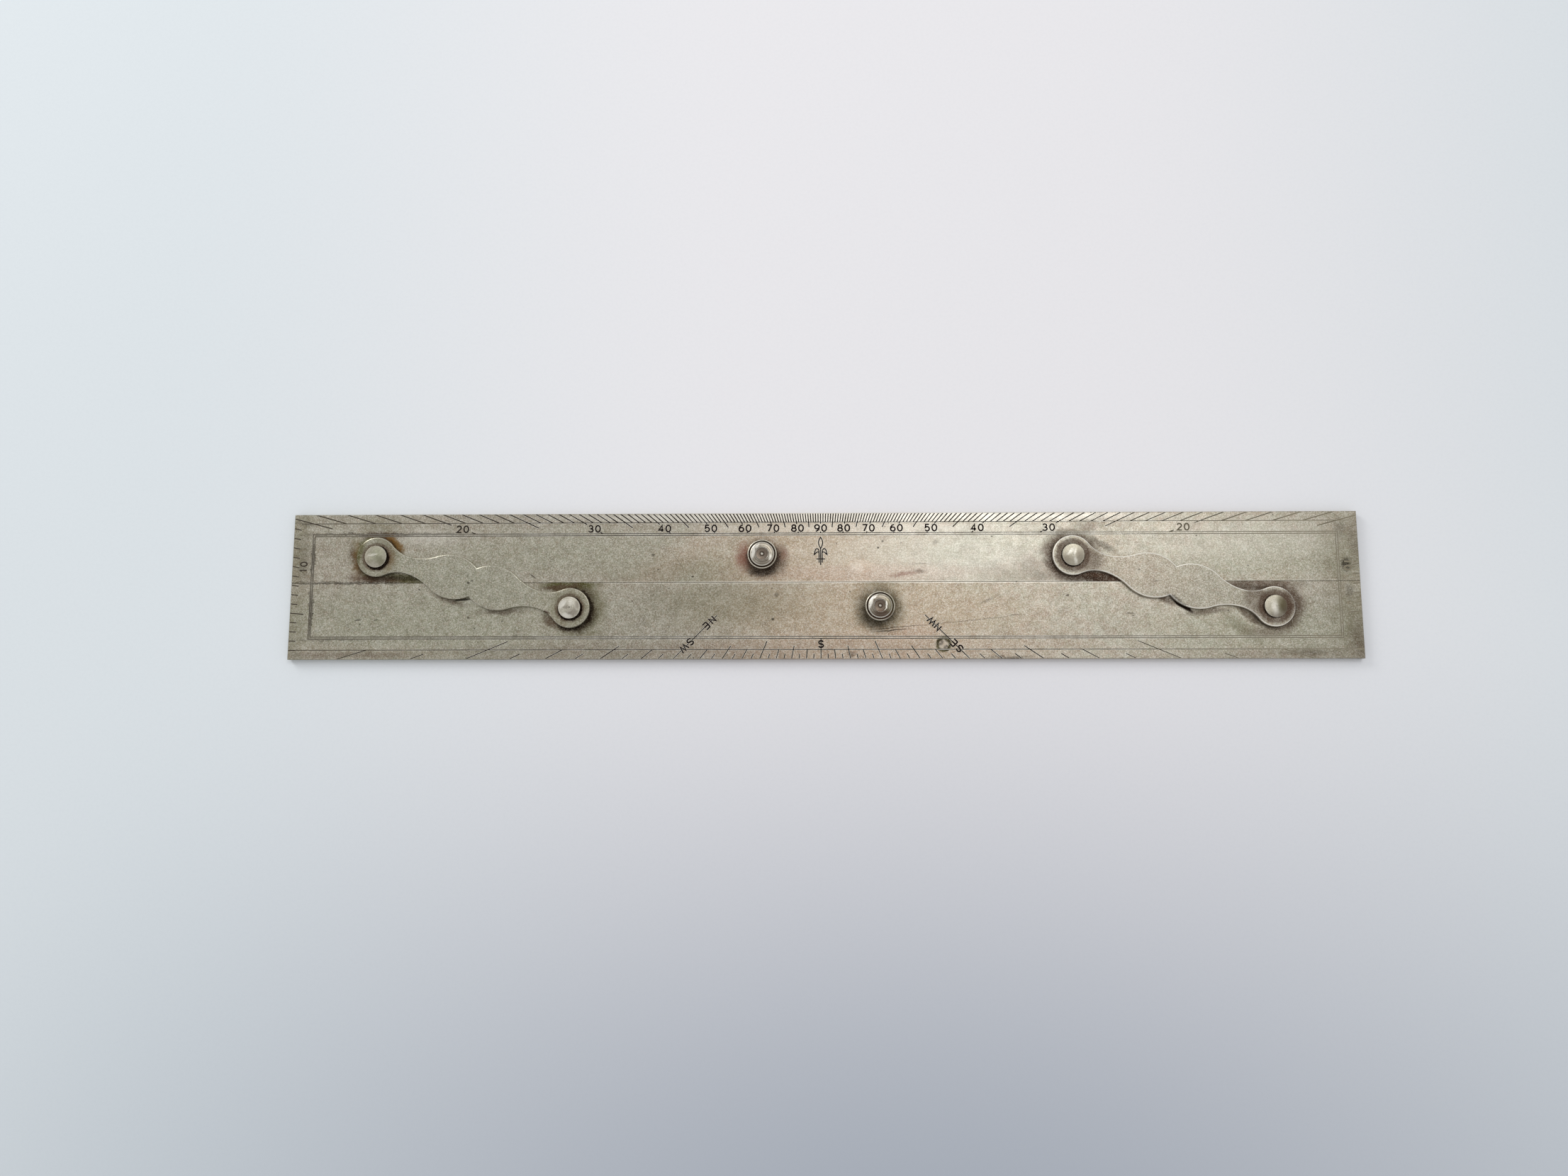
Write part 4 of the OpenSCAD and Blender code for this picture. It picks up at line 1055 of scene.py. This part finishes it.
class RULE_OT_engrave_letters(bpy.types.Operator):
    """Cuts and fills the compass letters on the lower blade"""

    bl_idname = "rule.engrave_letters"
    bl_label = "Engrave compass letters"

    def execute(self, context):
        engraving = context.scene.rule_engraving
        high = engraving.letter_height
        wide = high * LETTER_SHAPE
        strokes = written("S", 0, SOUTH_LETTER_MM * MM, wide, high)
        slope = math.sqrt(0.5)
        for side, letters in COMPASS_LETTERS_MM.items():
            for sign, far in letters:
                x, y = side * far * slope * MM, (UPPER_EDGE_MM - far * slope) * MM
                strokes += written(sign, x, y, wide, high, 180 - 45 * side)
        made = wax_and_burr(context, "letters")
        stroke = engraving.letter_stroke
        cut("compass_letters", strokes, stroke, engraving.lip * STROKE_LIP, made, LOWER)
        line = [(0, (SOUTH_LETTER_MM + v) * MM) for v in (-SOUTH_LINE_HALF_MM, SOUTH_LINE_HALF_MM)]
        cut("south_line", [line], stroke * SOUTH_LINE_SHARE, engraving.lip * SOUTH_LIP, made, LOWER, first=3)
        return {"FINISHED"}


def north_mark():
    """The strokes of the north mark, a fleur-de-lis, in millimetres of the plan."""

    def mirrored(points):
        return [points, [(-x, y) for x, y in points]]

    bud = [
        (0, 16), (0.34, 16.6), (0.68, 17.4), (0.86, 18.3), (0.82, 19.1), (0.55, 19.9), (0.2, 20.5), (0, 21),
    ]
    petal = [
        (0.66, 9.8), (0.66, 14.6), (0.82, 15.3), (1.2, 15.8), (1.65, 15.9), (2.1, 15.6), (2.42, 14.9),
        (2.58, 14.1), (2.8, 13.3), (2.3, 13.6), (1.85, 14.2), (1.4, 14.45), (0.95, 14.4), (0.66, 14.2),
    ]
    return mirrored(bud) + mirrored(petal) + [[(0, 8.8), (0, 16.3)], [(-1.85, 11.4), (1.85, 11.4)]]


class RULE_OT_engrave_north_mark(bpy.types.Operator):
    """Cuts and fills the north mark on the upper blade"""

    bl_idname = "rule.engrave_north_mark"
    bl_label = "Engrave north mark"

    def execute(self, context):
        engraving = context.scene.rule_engraving
        strokes = [[(x * MM, y * MM) for x, y in points] for points in north_mark()]
        made = wax_and_burr(context, "north_mark")
        cut("north_mark", strokes, engraving.mark_stroke, engraving.lip * STROKE_LIP, made, UPPER)
        return {"FINISHED"}


# Studio


def lamp(name, at, aim, size, power):
    """A square soft lamp that looks at a point."""
    light = bpy.data.lights.new(name, "AREA")
    light.shape, light.size, light.energy = "SQUARE", size, power
    made = bpy.data.objects.new(name, light)
    bpy.context.scene.collection.objects.link(made)
    made.location = at
    made.rotation_euler = (Vector(aim) - Vector(at)).to_track_quat("-Z", "Y").to_euler()


# Metres, but for the camera's sensor.
KEY_AT, KEY_AIM = (-1.2, 1.0, 0.75), (0, 0, 0)
SHEEN_AT, SHEEN_AIM = (0.35, 0.6, 1.3), (0.08, 0, 0)
LAMP_WIDTH = 0.6
NEAREST, FARTHEST = 0.01, 20
FLOOR_REACH, FLOOR_Z = 4.0, -0.0002
SENSOR_MM = 36


class RULE_OT_set_stage(bpy.types.Operator):
    """Sets the camera, the lamps, the room light and the pale floor"""

    bl_idname = "rule.set_stage"
    bl_label = "Set stage"

    def execute(self, context):
        scene, studio = context.scene, context.scene.rule_studio
        camera = bpy.data.cameras.new("camera")
        camera.sensor_fit, camera.sensor_width, camera.lens = "HORIZONTAL", SENSOR_MM, studio.lens
        camera.clip_start, camera.clip_end = NEAREST, FARTHEST
        stand = bpy.data.objects.new("camera", camera)
        stand.location, stand.rotation_euler = studio.camera_at, studio.camera_turn
        scene.collection.objects.link(stand)
        scene.camera = stand

        lamp("key_lamp", KEY_AT, KEY_AIM, LAMP_WIDTH, studio.key_power)
        lamp("sheen_panel", SHEEN_AT, SHEEN_AIM, LAMP_WIDTH, studio.sheen_power)

        world = bpy.data.worlds.new("room_light")
        world.use_nodes = True
        tree = world.node_tree
        tree.nodes.clear()
        light = add(tree, "Background", {"Color": studio.sky, "Strength": studio.sky_strength})
        output = tree.nodes.new("ShaderNodeOutputWorld")
        tree.links.new(light, output.inputs["Surface"])
        scene.world = world

        mesh = bpy.data.meshes.new("floor")
        signs = (-1, -1), (1, -1), (1, 1), (-1, 1)
        corners = [(x * FLOOR_REACH, y * FLOOR_REACH, FLOOR_Z) for x, y in signs]
        mesh.from_pydata(corners, [], [(0, 1, 2, 3)])
        mesh.materials.append(pale_card("matt_card", studio.floor))
        floor = bpy.data.objects.new("floor", mesh)
        scene.collection.objects.link(floor)
        scene.view_settings.view_transform = "Standard"
        return {"FINISHED"}


# Add-on


PIECES = (
    RULE_OT_finish_sheet_pieces, RULE_OT_finish_turned_pieces, RULE_OT_finish_brass_pieces,
    RULE_OT_fill_graduations, RULE_OT_engrave_figures, RULE_OT_engrave_letters,
    RULE_OT_engrave_north_mark, RULE_OT_set_stage,
)
SETTINGS = {"rule_metal": MetalSettings, "rule_engraving": EngravingSettings, "rule_studio": StudioSettings}


class RULE_PT_panel(bpy.types.Panel):
    """Lists the rule's settings and the steps that make it"""

    bl_idname = "RULE_PT_panel"
    bl_label = "Parallel rule"
    bl_space_type = "VIEW_3D"
    bl_region_type = "UI"
    bl_category = "Parallel rule"

    def draw(self, context):
        for name, group in SETTINGS.items():
            box = self.layout.box()
            for setting in group.__annotations__:
                box.prop(getattr(context.scene, name), setting)
        for step in PIECES:
            self.layout.operator(step.bl_idname)


def register():
    """Registers the settings, the steps and the panel."""
    for each in (*SETTINGS.values(), *PIECES, RULE_PT_panel):
        bpy.utils.register_class(each)
    for name, group in SETTINGS.items():
        setattr(bpy.types.Scene, name, bpy.props.PointerProperty(type=group))


def unregister():
    """Takes the settings, the steps and the panel out again."""
    for name in SETTINGS:
        delattr(bpy.types.Scene, name)
    for each in reversed((*SETTINGS.values(), *PIECES, RULE_PT_panel)):
        bpy.utils.unregister_class(each)


def main():
    """Runs every step in order."""
    register()
    for step in PIECES:
        getattr(bpy.ops.rule, step.bl_idname.split(".")[1])()


if __name__ == "__main__":
    main()
